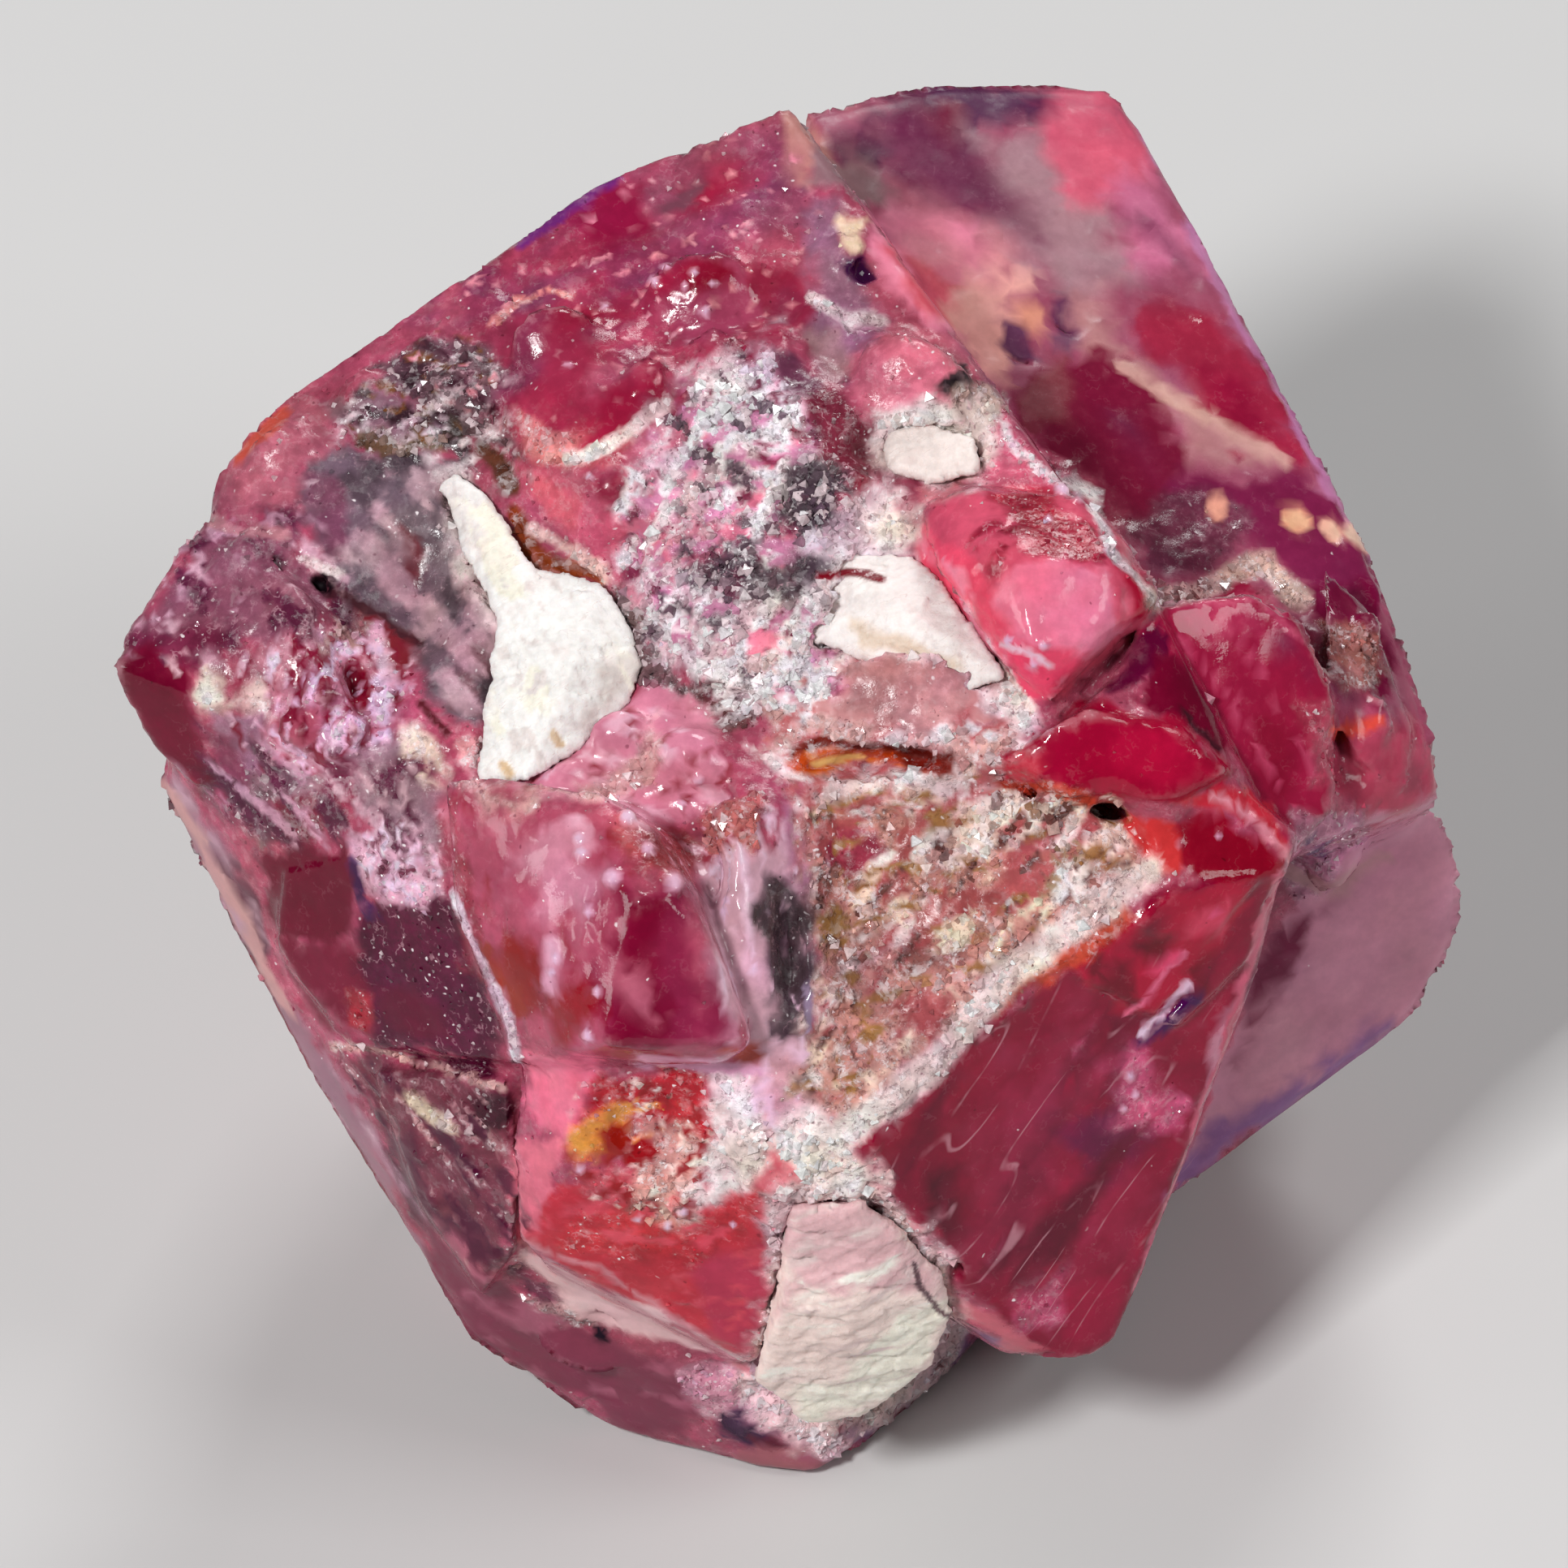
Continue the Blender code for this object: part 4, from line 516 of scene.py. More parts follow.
# Lines of the broad side: name, colour, finish, width in photo pixels, points
LINES = [
    # a painted highlight along the pale flow
    ("right pale highlight line", (206, 170, 152), "smooth", 15, [(1384, 455), (1450, 490), (1530, 540),
        (1580, 575)]),
    ("right rim line", (192, 132, 170), "smooth", 12, [(1400, 130), (1500, 330), (1600, 530), (1700, 690)]),
    ("right gold a", (246, 204, 150), "gloss", 22, [(1598, 640), (1604, 646)]),
    ("right gold b", (248, 214, 170), "gloss", 22, [(1636, 652), (1646, 660)]),
    ("right gold c", (250, 220, 180), "gloss", 22, [(1672, 655), (1688, 668)]),
    ("right gold d", (236, 190, 150), "gloss", 20, [(1496, 622), (1504, 628)]),
    ("right ember", (226, 92, 70), "gloss", 12, [(1640, 905), (1700, 890)]),
    ("ribbon", (204, 168, 160), "crust", 26, [(1420, 738), (1480, 726), (1520, 700), (1560, 690),
        (1604, 735)]),
    ("violet rim", (112, 48, 132), "gem", 16, [(640, 300), (720, 240), (760, 215)]),
    ("dusk stroke", (118, 70, 84), "smooth", 16, [(820, 260), (862, 232)]),
    ("white bits", (226, 206, 206), "crust", 14, [(1000, 372), (1050, 402), (1085, 392)]),
    ("dome ring", (218, 136, 134), "crust", 8, [(605, 395), (640, 366), (680, 358), (708, 366)]),
    ("coral white wave", (242, 218, 218), "crust", 16, [(700, 562), (750, 550), (780, 530), (800, 512),
        (822, 502)]),
    ("rim gold", (112, 84, 60), "crust", 14, [(440, 540), (505, 550)]),
    ("rust upper", (96, 50, 34), "earth", 22, [(592, 558), (628, 604)]),
    ("rust middle", (130, 50, 16), "earth", 22, [(630, 636), (656, 682), (680, 704), (706, 712)]),
    ("rust lower", (160, 72, 32), "earth", 12, [(700, 700), (738, 724)]),
    ("rust lip", (232, 194, 184), "crust", 14, [(650, 648), (700, 678), (745, 718)]),
    ("hollow crack", (70, 26, 36), "hole", 12, [(400, 730), (440, 740), (480, 765), (515, 790)]),
    ("hollow spot", (14, 0, 10), "hole", 18, [(390, 716), (402, 722)]),
    ("hollow white", (216, 196, 192), "crust", 12, [(380, 690), (412, 708)]),
    ("salmon edge", (192, 90, 70), "gloss", 14, [(296, 560), (350, 508)]),
    ("left pale line", (192, 150, 146), "wax", 14, [(258, 640), (300, 655), (352, 662)]),
    ("bubble white", (240, 226, 226), "bubble", 16, [(465, 780), (480, 830), (475, 885)]),
    ("slope ink", (88, 16, 30), "hole", 10, [(510, 870), (552, 905)]),
    ("strip line", (206, 170, 160), "smooth", 12, [(155, 885), (230, 1010), (300, 1140), (362, 1245)]),
    ("plum violet", (62, 10, 92), "gem", 12, [(440, 1060), (446, 1110), (462, 1130)]),
    ("plum edge", (226, 204, 214), "crust", 13, [(562, 1105), (602, 1190), (632, 1252), (642, 1300)]),
    ("plum foot line", (206, 166, 156), "crust", 9, [(415, 1286), (500, 1300), (570, 1316), (628, 1336)]),
    ("brown cream", (206, 190, 164), "crust", 18, [(510, 1350), (536, 1376), (562, 1386)]),
    ("slit edge", (104, 20, 10), "earth", 13, [(980, 930), (1020, 913), (1100, 921), (1168, 936)]),
    ("slit end", (140, 30, 14), "earth", 18, [(1130, 944), (1166, 950)]),
    ("slit glint", (252, 214, 120), "gloss", 10, [(1000, 945), (1060, 934)]),
    ("pocket slit", (124, 10, 30), "gem", 11, [(1010, 708), (1085, 712)]),
    ("coral rim", (242, 226, 230), "crust", 11, [(1236, 530), (1300, 592), (1345, 612), (1372, 680),
        (1422, 735)]),
    ("coral foot line", (240, 216, 206), "crust", 10, [(1142, 732), (1200, 792), (1272, 874)]),
    ("coral glint", (252, 224, 220), "gloss", 9, [(1232, 795), (1260, 805), (1290, 825)]),
    ("rose rust", (150, 50, 24), "gem", 14, [(602, 1165), (618, 1205), (640, 1246)]),
    ("rose foot edge", (222, 184, 202), "gloss", 12, [(790, 1306), (860, 1308), (935, 1314)]),
    # a painted bluish glint on the seam
    ("seam blue glint", (150, 150, 206), "gloss", 7, [(992, 1215), (998, 1262)]),
    ("crust seam", (244, 224, 216), "crust", 34, [
        (1000, 1430), (1040, 1396), (1100, 1358), (1160, 1292), (1240, 1204), (1330, 1132), (1420, 1075)]),
    ("crust seam lump", (248, 232, 226), "crust", 60, [(990, 1400), (1030, 1440)]),
    ("step line b", (224, 120, 146), "gloss", 6, [(1382, 1252), (1424, 1212), (1456, 1176)]),
    ("step slit", (70, 5, 80), "gem", 16, [(1405, 1286), (1470, 1226)]),
    ("step slit edge", (240, 214, 224), "gloss", 7, [(1400, 1274), (1466, 1210)]),
    # a painted highlight along the crimson crystal's right edge
    ("crimson right edge highlight", (206, 106, 126), "gloss", 9, [(1572, 1070), (1510, 1290), (1450, 1450),
        (1402, 1590)]),
    ("slab rust", (190, 60, 40), "earth", 11, [(1232, 968), (1300, 982), (1362, 992)]),
    ("plate line a", (196, 84, 112), "gem", 6, [(1456, 790), (1530, 892), (1592, 990)]),
    ("plate line b", (190, 80, 108), "gem", 5, [(1502, 762), (1568, 858), (1618, 960)]),
    ("plate line c", (196, 90, 116), "gem", 6, [(1478, 746), (1556, 740), (1606, 790)]),
    ("slab crack", (60, 0, 22), "hole", 7, [(1448, 878), (1502, 930)]),
    ("wedge line", (226, 162, 166), "gloss", 10, [(1490, 978), (1540, 1010), (1582, 1052)]),
    ("glassy foot", (192, 152, 152), "smooth", 18, [(1590, 1072), (1640, 1102), (1702, 1062)]),
    ("orange keel", (210, 150, 150), "gloss", 7, [(640, 1532), (760, 1575), (850, 1640), (925, 1690)]),
]


# Patches that lie over the streaks
OVERLAYS = [
    ("tip again", (104, 0, 40), "gem", 12, [(136, 820), (180, 805), (226, 840), (236, 890), (256, 965),
        (190, 915), (145, 850)]),
    ("nook crust", (240, 222, 218), "crust", 14, [
        (1052, 545), (1080, 508), (1150, 500), (1212, 508), (1232, 560), (1212, 602), (1130, 612),
        (1070, 600)]),
    ("pocket crust", (246, 232, 228), "crust", 14, [
        (990, 690), (1030, 640), (1065, 605), (1112, 605), (1112, 660), (1132, 722), (1186, 780),
        (1240, 842),
        (1282, 876), (1286, 902), (1250, 900), (1180, 850), (1100, 806), (1030, 800), (995, 760)]),
    ("beige lump", (188, 146, 136), "wax", 12, [
        (1036, 812), (1090, 800), (1170, 806), (1212, 842), (1196, 872), (1120, 886), (1050, 880)]),
    ("saddle crust", (226, 210, 208), "crust", 14, [
        (524, 572), (562, 572), (602, 640), (652, 742), (664, 792), (630, 800), (600, 730), (550, 650)]),
    ("saddle foot crust", (226, 178, 176), "crust", 12, [
        (570, 930), (620, 985), (700, 985), (780, 930), (812, 870), (800, 940), (740, 1000), (600, 1004)]),
    ("foot crust", (230, 202, 200), "crust", 14, [
        (950, 1452), (1080, 1430), (1200, 1590), (1152, 1738), (1010, 1796), (902, 1712), (940, 1600)]),
    ("amber", (198, 86, 18), "speck", 6, [
        (974, 950), (1002, 924), (1050, 922), (1110, 928), (1150, 934), (1158, 954), (1140, 962),
        (1108, 946),
        (1060, 944), (1010, 964), (982, 972)]),
    # the brightest amber: partly stain, partly a painted highlight
    ("amber light", (255, 206, 110), "speck", 7, [(1000, 938), (1040, 930), (1056, 934), (1030, 946),
        (1004, 954)]),
    ("amber dark", (116, 26, 8), "gem", 8, [(1104, 928), (1150, 930), (1166, 950), (1140, 958),
        (1112, 944)]),
    ("granular ink deep", (78, 62, 72), "grain", 20, [(972, 580), (1010, 566), (1042, 600), (1040, 650),
        (1000, 668), (970, 640)]),
    ("granular coal deep", (84, 66, 76), "grain", 20, [(866, 706), (910, 690), (1010, 694), (1012, 738),
        (960, 752), (896, 745)]),
    # partly amber stain, partly a painted glint
    ("amber bit", (246, 170, 70), "speck", 9, [(700, 1384), (730, 1370), (768, 1372), (762, 1398),
        (736, 1410), (704, 1418)]),
    ("amber bit dark", (150, 30, 14), "gem", 6, [(742, 1396), (772, 1388), (778, 1412), (752, 1420)]),
    ("bowl white", (240, 224, 222), "crust", 9, [(870, 1320), (930, 1318), (932, 1420), (900, 1462),
        (872, 1452), (884, 1390)]),
    ("rose foot corner", (176, 84, 66), "gloss", 6, [(900, 1288), (935, 1284), (940, 1314), (908, 1312)]),
    ("rose glint a", (238, 204, 214), "gloss", 10, [(698, 1008), (716, 1006), (728, 1058), (712, 1066)]),
    ("rose glint b", (230, 190, 202), "gloss", 8, [(680, 1160), (694, 1160), (686, 1216), (672, 1214)]),
    ("rose glint c", (232, 204, 222), "gloss", 8, [(716, 1256), (730, 1256), (734, 1286), (720, 1288)]),
    ("rose glint d", (238, 206, 212), "gloss", 10, [(760, 994), (796, 996), (798, 1016), (764, 1014)]),
    ("rose veil", (206, 150, 164), "gloss", 20, [(640, 1030), (690, 1010), (742, 1080), (720, 1130),
        (660, 1120)]),
    ("seam core", (70, 62, 62), "wax", 14, [(956, 1086), (982, 1092), (992, 1160), (984, 1222),
        (960, 1216), (948, 1150)]),
]

# Clear blebs that stand out of the broad side, each with a painted highlight: where, and how wide, in photo
# pixels
BLEBS = [
    (715, 1032, 11), (717, 1050, 10), (755, 1080, 15), (727, 1122, 9), (800, 1045, 10), (832, 1085, 17),
    (686, 1180, 7), (682, 1196, 7), (725, 1274, 9), (737, 1220, 8), (895, 1108, 7), (893, 1122, 7),
        (775, 1005, 12),
    (806, 346, 8), (820, 329, 6), (855, 336, 7), (844, 353, 6), (879, 350, 7), (869, 385, 9), (746, 378, 6),
    (1240, 790, 8), (1284, 797, 8), (1272, 820, 7), (1308, 603, 11), (1328, 612, 9), (1290, 640, 6),
    (841, 1492, 8), (822, 1510, 7), (787, 1501, 6), (904, 1508, 6), (715, 1440, 7), (860, 962, 8),
        (840, 990, 7),
    (1392, 1326, 8), (1398, 1348, 7), (1384, 1366, 6), (1500, 1028, 6), (1452, 1040, 5), (470, 800, 8),
    (338, 902, 8), (366, 866, 7), (452, 1030, 6), (520, 1060, 8), (490, 1092, 7), (700, 450, 6),
        (726, 588, 5),
]
BLEB_RISE = 0.55             # of a bleb's reach
# the colour of the painted highlight on each bleb
BLEB_HIGHLIGHT_COLOUR = (250, 236, 242)

# Hollows that crust has filled: where, and how wide, in photo pixels
FILLED = [(1262, 966, 40), (1364, 996, 46), (872, 1085, 52), (850, 1035, 44), (1650, 922, 40), (1478, 790, 30),
          (1318, 858, 26), (1348, 828, 26), (1380, 797, 26)]
FILL_TIMES = 60              # how often a filled hollow is evened out
RIM_SHARE = 30               # percent of a hollow's rim that lies below its filling
FILL_DEPTH = 0.1             # mm
LOWEST_FILL = -2.5           # mm out of the broad side's middle, below which nothing is filled

# Areas with fine striae: name, softness, corners
STRIATED = [
    ("crimson striae", 30, [
        (1080, 1400), (1200, 1300), (1330, 1200), (1420, 1190), (1490, 1290), (1450, 1430), (1390, 1570),
        (1310, 1650), (1220, 1610), (1130, 1510)]),
]

CRUSTED = [(985, 1000), (1200, 960), (1362, 990), (1412, 1070), (1300, 1142), (1160, 1262), (1042, 1382),
           (990, 1370), (1000, 1290), (1008, 1130)]
GRANULAR = [(815, 470), (860, 440), (920, 420), (965, 430), (975, 520), (1020, 580), (1030, 700),
            (1045, 780), (1040, 850), (900, 870), (820, 805), (780, 735), (760, 620), (790, 540)]
RIM = [(400, 510), (480, 430), (560, 395), (625, 410), (640, 590), (560, 600), (430, 560)]
BUBBLED = [(300, 800), (400, 770), (490, 780), (505, 880), (480, 915), (400, 955), (330, 950), (295, 880)]
HOLLOW = [(375, 560), (500, 545), (565, 590), (605, 680), (645, 780), (625, 860), (560, 890), (505, 862),
          (500, 795), (420, 735), (375, 690)]
LEFT = [(200, 640), (400, 640), (420, 760), (330, 800), (240, 880), (430, 940), (560, 960), (560, 1060),
        (330, 1040), (200, 940), (150, 800)]
TOP_LEFT = [(470, 440), (560, 360), (640, 290), (740, 230), (900, 160), (1000, 200), (1010, 400), (900, 430),
            (820, 500), (760, 580), (640, 600), (600, 500)]
RIGHT = [(1000, 130), (1150, 80), (1380, 80), (1500, 300), (1700, 680), (1650, 850), (1440, 700), (1340, 600),
         (1220, 500), (1100, 300)]
CRIMSON = [(1060, 1410), (1200, 1290), (1330, 1190), (1440, 1120), (1560, 1070), (1500, 1290), (1400, 1640),
           (1310, 1680), (1200, 1590)]
ROSE = [(560, 970), (640, 1000), (760, 1010), (800, 1100), (780, 1290), (650, 1260), (590, 1160)]

# Streaks: name, way they run in degrees, length and width in mm, how rare, colour, finish, softness, area
STREAKS = [
    ("crusted white", 28, 0.8, 0.22, 0.12, (250, 236, 226), "crust", 14, CRUSTED),
    ("crusted cream", 62, 0.6, 0.20, 0.26, (244, 222, 196), "crust", 14, CRUSTED),
    ("crusted rose", 48, 0.8, 0.24, 0.24, (168, 92, 88), "wax", 14, CRUSTED),
    ("crusted gold", 20, 0.5, 0.12, 0.32, (158, 108, 62), "earth", 14, CRUSTED),
    ("crusted dark", 52, 0.5, 0.12, 0.42, (100, 58, 52), "crust", 14, CRUSTED),
    ("granular rose", 30, 0.6, 0.35, 0.20, (214, 128, 150), "wax", 16, GRANULAR),
    ("granular lilac", 10, 0.35, 0.18, 0.12, (204, 150, 178), "speck", 14, GRANULAR),
    ("granular pits", 70, 0.22, 0.12, 0.40, (124, 52, 78), "speck", 12, GRANULAR),
    ("granular dark", -30, 0.5, 0.16, 0.18, (100, 80, 92), "grain", 14, GRANULAR),
    ("granular white", 60, 0.6, 0.15, 0.08, (252, 244, 246), "grain", 14, GRANULAR),
    ("rim dark", -35, 0.5, 0.14, 0.12, (58, 42, 46), "speck", 12, RIM),
    ("rim white", 30, 0.4, 0.09, 0.34, (222, 204, 206), "crust", 12, RIM),
    ("rim rust", -30, 0.5, 0.10, 0.44, (120, 74, 40), "earth", 12, RIM),
    ("bubbled wine", 80, 0.35, 0.12, 0.18, (126, 28, 54), "gem", 8, BUBBLED),
    ("bubbled white", 70, 0.4, 0.10, 0.12, (242, 226, 230), "bubble", 8, BUBBLED),
    ("hollow dark", -50, 0.9, 0.30, 0.14, (82, 74, 78), "wax", 14, HOLLOW),
    ("hollow pale", -50, 1.1, 0.30, 0.12, (184, 168, 168), "wax", 16, HOLLOW),
    ("left dark", -60, 0.7, 0.25, 0.16, (92, 38, 64), "speck", 14, LEFT),
    ("left pale", -40, 0.8, 0.14, 0.34, (200, 172, 178), "wax", 12, LEFT),
    ("top haze", 35, 1.6, 0.80, 0.00, (126, 62, 92), "wax", 26, TOP_LEFT),
    ("top red", 20, 1.4, 0.80, 0.10, (156, 30, 64), "gloss", 26, TOP_LEFT),
    ("top glint", 50, 0.5, 0.05, 0.62, (232, 170, 170), "speck", 18, TOP_LEFT),
    ("right blush", -40, 2.4, 1.00, 0.34, (220, 150, 152), "smooth", 40, RIGHT),
    ("right dusk", -55, 2.2, 0.90, 0.16, (110, 42, 76), "smooth", 40, RIGHT),
    ("crimson dusk", 62, 2.4, 0.40, 0.12, (100, 4, 42), "gem", 24, CRIMSON),
    ("crimson light", 62, 2.4, 0.26, 0.34, (166, 14, 60), "gem", 26, CRIMSON),
    ("crimson haze", 66, 2.0, 0.26, 0.52, (176, 66, 100), "gem", 26, [
        (1200, 1352), (1330, 1250), (1420, 1290), (1400, 1450), (1340, 1600), (1220, 1600), (1150, 1520)]),
    ("rose flush", -50, 1.8, 0.90, 0.00, (210, 132, 146), "gloss", 24, ROSE),
    ("rose flame", -70, 0.9, 0.22, 0.42, (142, 36, 34), "gem", 24, ROSE),
    ("lumps glint", -20, 0.6, 0.12, 0.25, (240, 200, 206), "gloss", 12, [
        (660, 960), (800, 850), (880, 900), (940, 1060), (860, 1090), (760, 1010)]),
    ("lumps dark", 50, 0.6, 0.16, 0.34, (150, 60, 70), "gloss", 12, [
        (640, 960), (800, 850), (880, 900), (940, 1060), (860, 1090), (760, 1010)]),
    ("clear folds", 70, 0.35, 0.08, 0.06, (252, 242, 242), "bubble", 6, [
        (438, 1032), (482, 1018), (542, 1050), (548, 1102), (500, 1118), (455, 1106), (438, 1070)]),
    ("clear gaps", 40, 0.30, 0.08, 0.26, (120, 74, 86), "bubble", 6, [
        (438, 1032), (482, 1018), (542, 1050), (548, 1102), (500, 1118), (455, 1106), (438, 1070)]),
    ("dusky pale", -50, 0.6, 0.10, 0.30, (182, 138, 140), "crust", 10, [
        (410, 1300), (620, 1340), (640, 1420), (650, 1560), (590, 1550), (500, 1440)]),
    ("dusky plum", -50, 0.8, 0.20, 0.16, (78, 22, 52), "gem", 10, [
        (410, 1300), (620, 1340), (640, 1420), (650, 1560), (590, 1550), (500, 1440)]),
    ("middle white", -20, 0.5, 0.18, 0.10, (250, 238, 232), "crust", 12, [
        (930, 870), (1040, 800), (1280, 880), (1260, 960), (1180, 1000), (960, 1000)]),
    ("middle rose", 50, 0.5, 0.18, 0.26, (180, 108, 104), "wax", 12, [
        (930, 870), (1040, 800), (1280, 880), (1260, 960), (1180, 1000), (960, 1000)]),
    ("seam white", -84, 1.1, 0.12, 0.14, (240, 224, 230), "gloss", 8, [
        (880, 1060), (960, 1000), (1010, 1020), (1010, 1300), (1000, 1400), (940, 1390), (900, 1240)]),
    ("seam dark", -86, 1.0, 0.14, 0.05, (74, 62, 68), "wax", 8, [
        (948, 1080), (990, 1090), (1002, 1180), (996, 1290), (958, 1280), (940, 1180)]),
    ("coral dark", 30, 0.6, 0.22, 0.10, (164, 40, 64), "speck", 14, [
        (1150, 640), (1212, 606), (1300, 604), (1372, 655), (1385, 690), (1300, 690), (1240, 705),
        (1170, 690)]),
    ("coral light", -40, 0.7, 0.20, 0.24, (250, 150, 164), "gloss", 12, [
        (1135, 680), (1240, 690), (1372, 700), (1420, 740), (1300, 860), (1240, 832), (1190, 762)]),
    ("bowl gold", 20, 0.4, 0.10, 0.30, (240, 168, 80), "speck", 9, [
        (696, 1366), (800, 1356), (850, 1380), (800, 1424), (700, 1430)]),
    ("bowl red", 70, 0.4, 0.12, 0.22, (150, 24, 30), "gem", 9, [
        (700, 1330), (868, 1320), (888, 1420), (860, 1490), (720, 1480), (696, 1420)]),
    ("bowl glint", 45, 0.3, 0.07, 0.42, (246, 216, 204), "crust", 9, [
        (700, 1330), (868, 1320), (888, 1420), (860, 1490), (720, 1480), (696, 1420)]),
    ("orange light", 30, 0.6, 0.20, 0.20, (212, 84, 96), "gloss", 14, [
        (650, 1530), (700, 1470), (960, 1490), (980, 1530), (940, 1680), (860, 1640)]),
    ("outer pale", -62, 1.8, 0.20, 0.10, (196, 168, 176), "smooth", 14, [
        (140, 900), (190, 930), (400, 1290), (560, 1600), (500, 1590), (260, 1150)]),
    ("pale crystal flow", 40, 2.2, 0.40, 0.20, (190, 144, 156), "smooth", 24, [
        (1700, 1005), (1790, 970), (1830, 1100), (1750, 1280), (1560, 1390), (1500, 1280), (1640, 1100)]),
    ("bottom flow", 20, 1.2, 0.30, 0.20, (168, 98, 116), "smooth", 16, [
        (520, 1500), (700, 1620), (840, 1690), (1040, 1790), (940, 1850), (700, 1740), (560, 1640)]),
]

# The sides and the back: colour, finish and how much of the stone each takes
WILD = [
    ((128, 30, 58), "gem", 0.20),
    ((158, 70, 94), "wax", 0.18),
    ((104, 26, 56), "gem", 0.14),
    ((172, 96, 114), "smooth", 0.12),
    ((120, 66, 78), "crust", 0.12),
    ((150, 16, 48), "gem", 0.10),
    ((186, 132, 142), "crust", 0.08),
    ((90, 44, 70), "speck", 0.06),
]
WILD_SIZE = 3.2              # mm

CALCITE_BASE = {
    "calcite_saddle": (252, 248, 244),
    "calcite_foot": (252, 226, 218),
    "calcite_pocket": (250, 240, 236),
    "calcite_nook": (246, 230, 224),
}
CALCITE_PATCHES = [
    ("saddle top grey", (236, 226, 224), "chalk", 14, [(540, 590), (620, 610), (600, 700), (550, 640)]),
    ("saddle shade", (222, 212, 206), "chalk", 14, [(745, 780), (800, 800), (790, 850), (720, 900),
        (740, 840)]),
    ("foot rose", (228, 182, 186), "chalk", 14, [
        (970, 1470), (1060, 1460), (1140, 1550), (1170, 1600), (1080, 1600), (1010, 1590), (960, 1610)]),
    ("foot cream", (252, 244, 228), "chalk", 10, [
        (1100, 1620), (1180, 1590), (1130, 1700), (1010, 1760), (960, 1720), (1050, 1700)]),
    ("pocket beige", (226, 204, 184), "chalk", 8, [(1050, 770), (1140, 790), (1180, 820), (1060, 810)]),
]
SADDLE = [(530, 590), (620, 600), (700, 720), (800, 800), (790, 900), (700, 960), (590, 960), (600, 800)]
FOOT = [(960, 1450), (1070, 1440), (1190, 1600), (1130, 1720), (1000, 1780), (910, 1700)]
CALCITE_STREAKS = [
    ("saddle cream", -60, 1.2, 0.30, 0.20, (252, 246, 230), "chalk", 14, SADDLE),
    ("saddle shadow", -60, 0.8, 0.12, 0.45, (234, 224, 220), "chalk", 14, SADDLE),
    ("foot grey", 20, 1.4, 0.14, 0.26, (226, 200, 198), "chalk", 24, FOOT),
    ("foot light", 20, 1.2, 0.14, 0.22, (250, 244, 234), "chalk", 24, FOOT),
]
CALCITE_LINES = [
    ("rust drop", (222, 190, 150), "earth", 14, [(622, 940), (632, 952)]),
    ("rust drop right", (224, 196, 162), "earth", 12, [(684, 902), (692, 914)]),
    ("foot ink", (96, 60, 70), "earth", 8, [(1125, 1560), (1150, 1600), (1180, 1625)]),
    ("pocket slit", (124, 10, 30), "gem", 11, [(1005, 708), (1085, 712)]),
]
CLEAVAGE = {
    # the way in which each remnant's cleavage steps follow each other
    "calcite_saddle": (0.83, 0.5, 0.25),
    "calcite_foot": (0.35, -0.85, 0.3),
    "calcite_pocket": (0.5, -0.8, 0.3),
    "calcite_nook": (0.9, 0.3, 0.3),
}


# ---------------------------------------------------------------- places

def side_to_world():
    """From millimetres on the broad side to metres in the row's frame."""
    sine, cosine = math.sin(LEAN), math.cos(LEAN)
    return Matrix((
        (MM, 0.0, 0.0, -CENTRE_ACROSS * MM),
        (0.0, sine * MM, -cosine * MM, -CENTRE_BACK * MM),
        (0.0, cosine * MM, sine * MM, CENTRE_UP * MM),
        (0.0, 0.0, 0.0, 1.0),
    ))


def to_photo(points):
    """The photo pixels at which points of the broad side lie."""
    middle = PHOTO_SIZE / 2 - 6
    return np.stack([points[:, 0] / UNIT + middle, middle - points[:, 1] / UNIT], axis=1)


# ---------------------------------------------------------------- noise

def hashed(cells, salt):
    """A number from 0 to 1 for each whole-numbered cell, always the same one."""
    mixed = cells[..., 0] * 73856093 ^ cells[..., 1] * 19349663 ^ cells[..., 2] * 83492791
    mixed = (mixed ^ (salt * 40503 + 12345)) & 0xFFFFFFFF
    mixed = ((mixed ^ (mixed >> 15)) * 0x2C1B3C6D) & 0xFFFFFFFF
    mixed = ((mixed ^ (mixed >> 12)) * 0x297A2D39) & 0xFFFFFFFF
    mixed = mixed ^ (mixed >> 15)
    return mixed / 0xFFFFFFFF


def smooth_noise(points, size, salt):
    """Noise from -1 to 1 whose features are `size` across."""
    scaled = points / size
    low = np.floor(scaled).astype(np.int64)
    part = scaled - low
    part = part * part * (3.0 - 2.0 * part)
    total = np.zeros(len(points))
    for corner in np.ndindex(2, 2, 2):
        offset = np.array(corner)
        weight = np.prod(np.where(offset, part, 1.0 - part), axis=1)
        total += weight * hashed(low + offset, salt)
    return 2.0 * total - 1.0


def fractal(points, size, octaves, salt):
    """Noise with finer noise on it, each time half as large and half as high."""
    total = np.zeros(len(points))
    for octave in range(octaves):
        total += smooth_noise(points, size / 2 ** octave, salt + octave) / 2 ** octave
    return total


def cells(points, size, salt):
    """For each point the distance to its nearest grain, in sizes, its offset from it and the grain's number."""
    scaled = points / size
    home = np.floor(scaled).astype(np.int64)
    nearest = np.full(len(points), 9.0)
    offset = np.zeros((len(points), 3))
    number = np.zeros(len(points))
    for step in np.ndindex(3, 3, 3):
        cell = home + np.array(step) - 1
        seed = np.stack([hashed(cell, salt + axis) for axis in range(3)], axis=1)
        gap = scaled - (cell + 0.15 + 0.7 * seed)
        distance = np.linalg.norm(gap, axis=1)
        closer = distance < nearest
        nearest = np.where(closer, distance, nearest)
        offset = np.where(closer[:, None], gap, offset)
        number = np.where(closer, hashed(cell, salt + 7), number)
    return nearest, offset, number


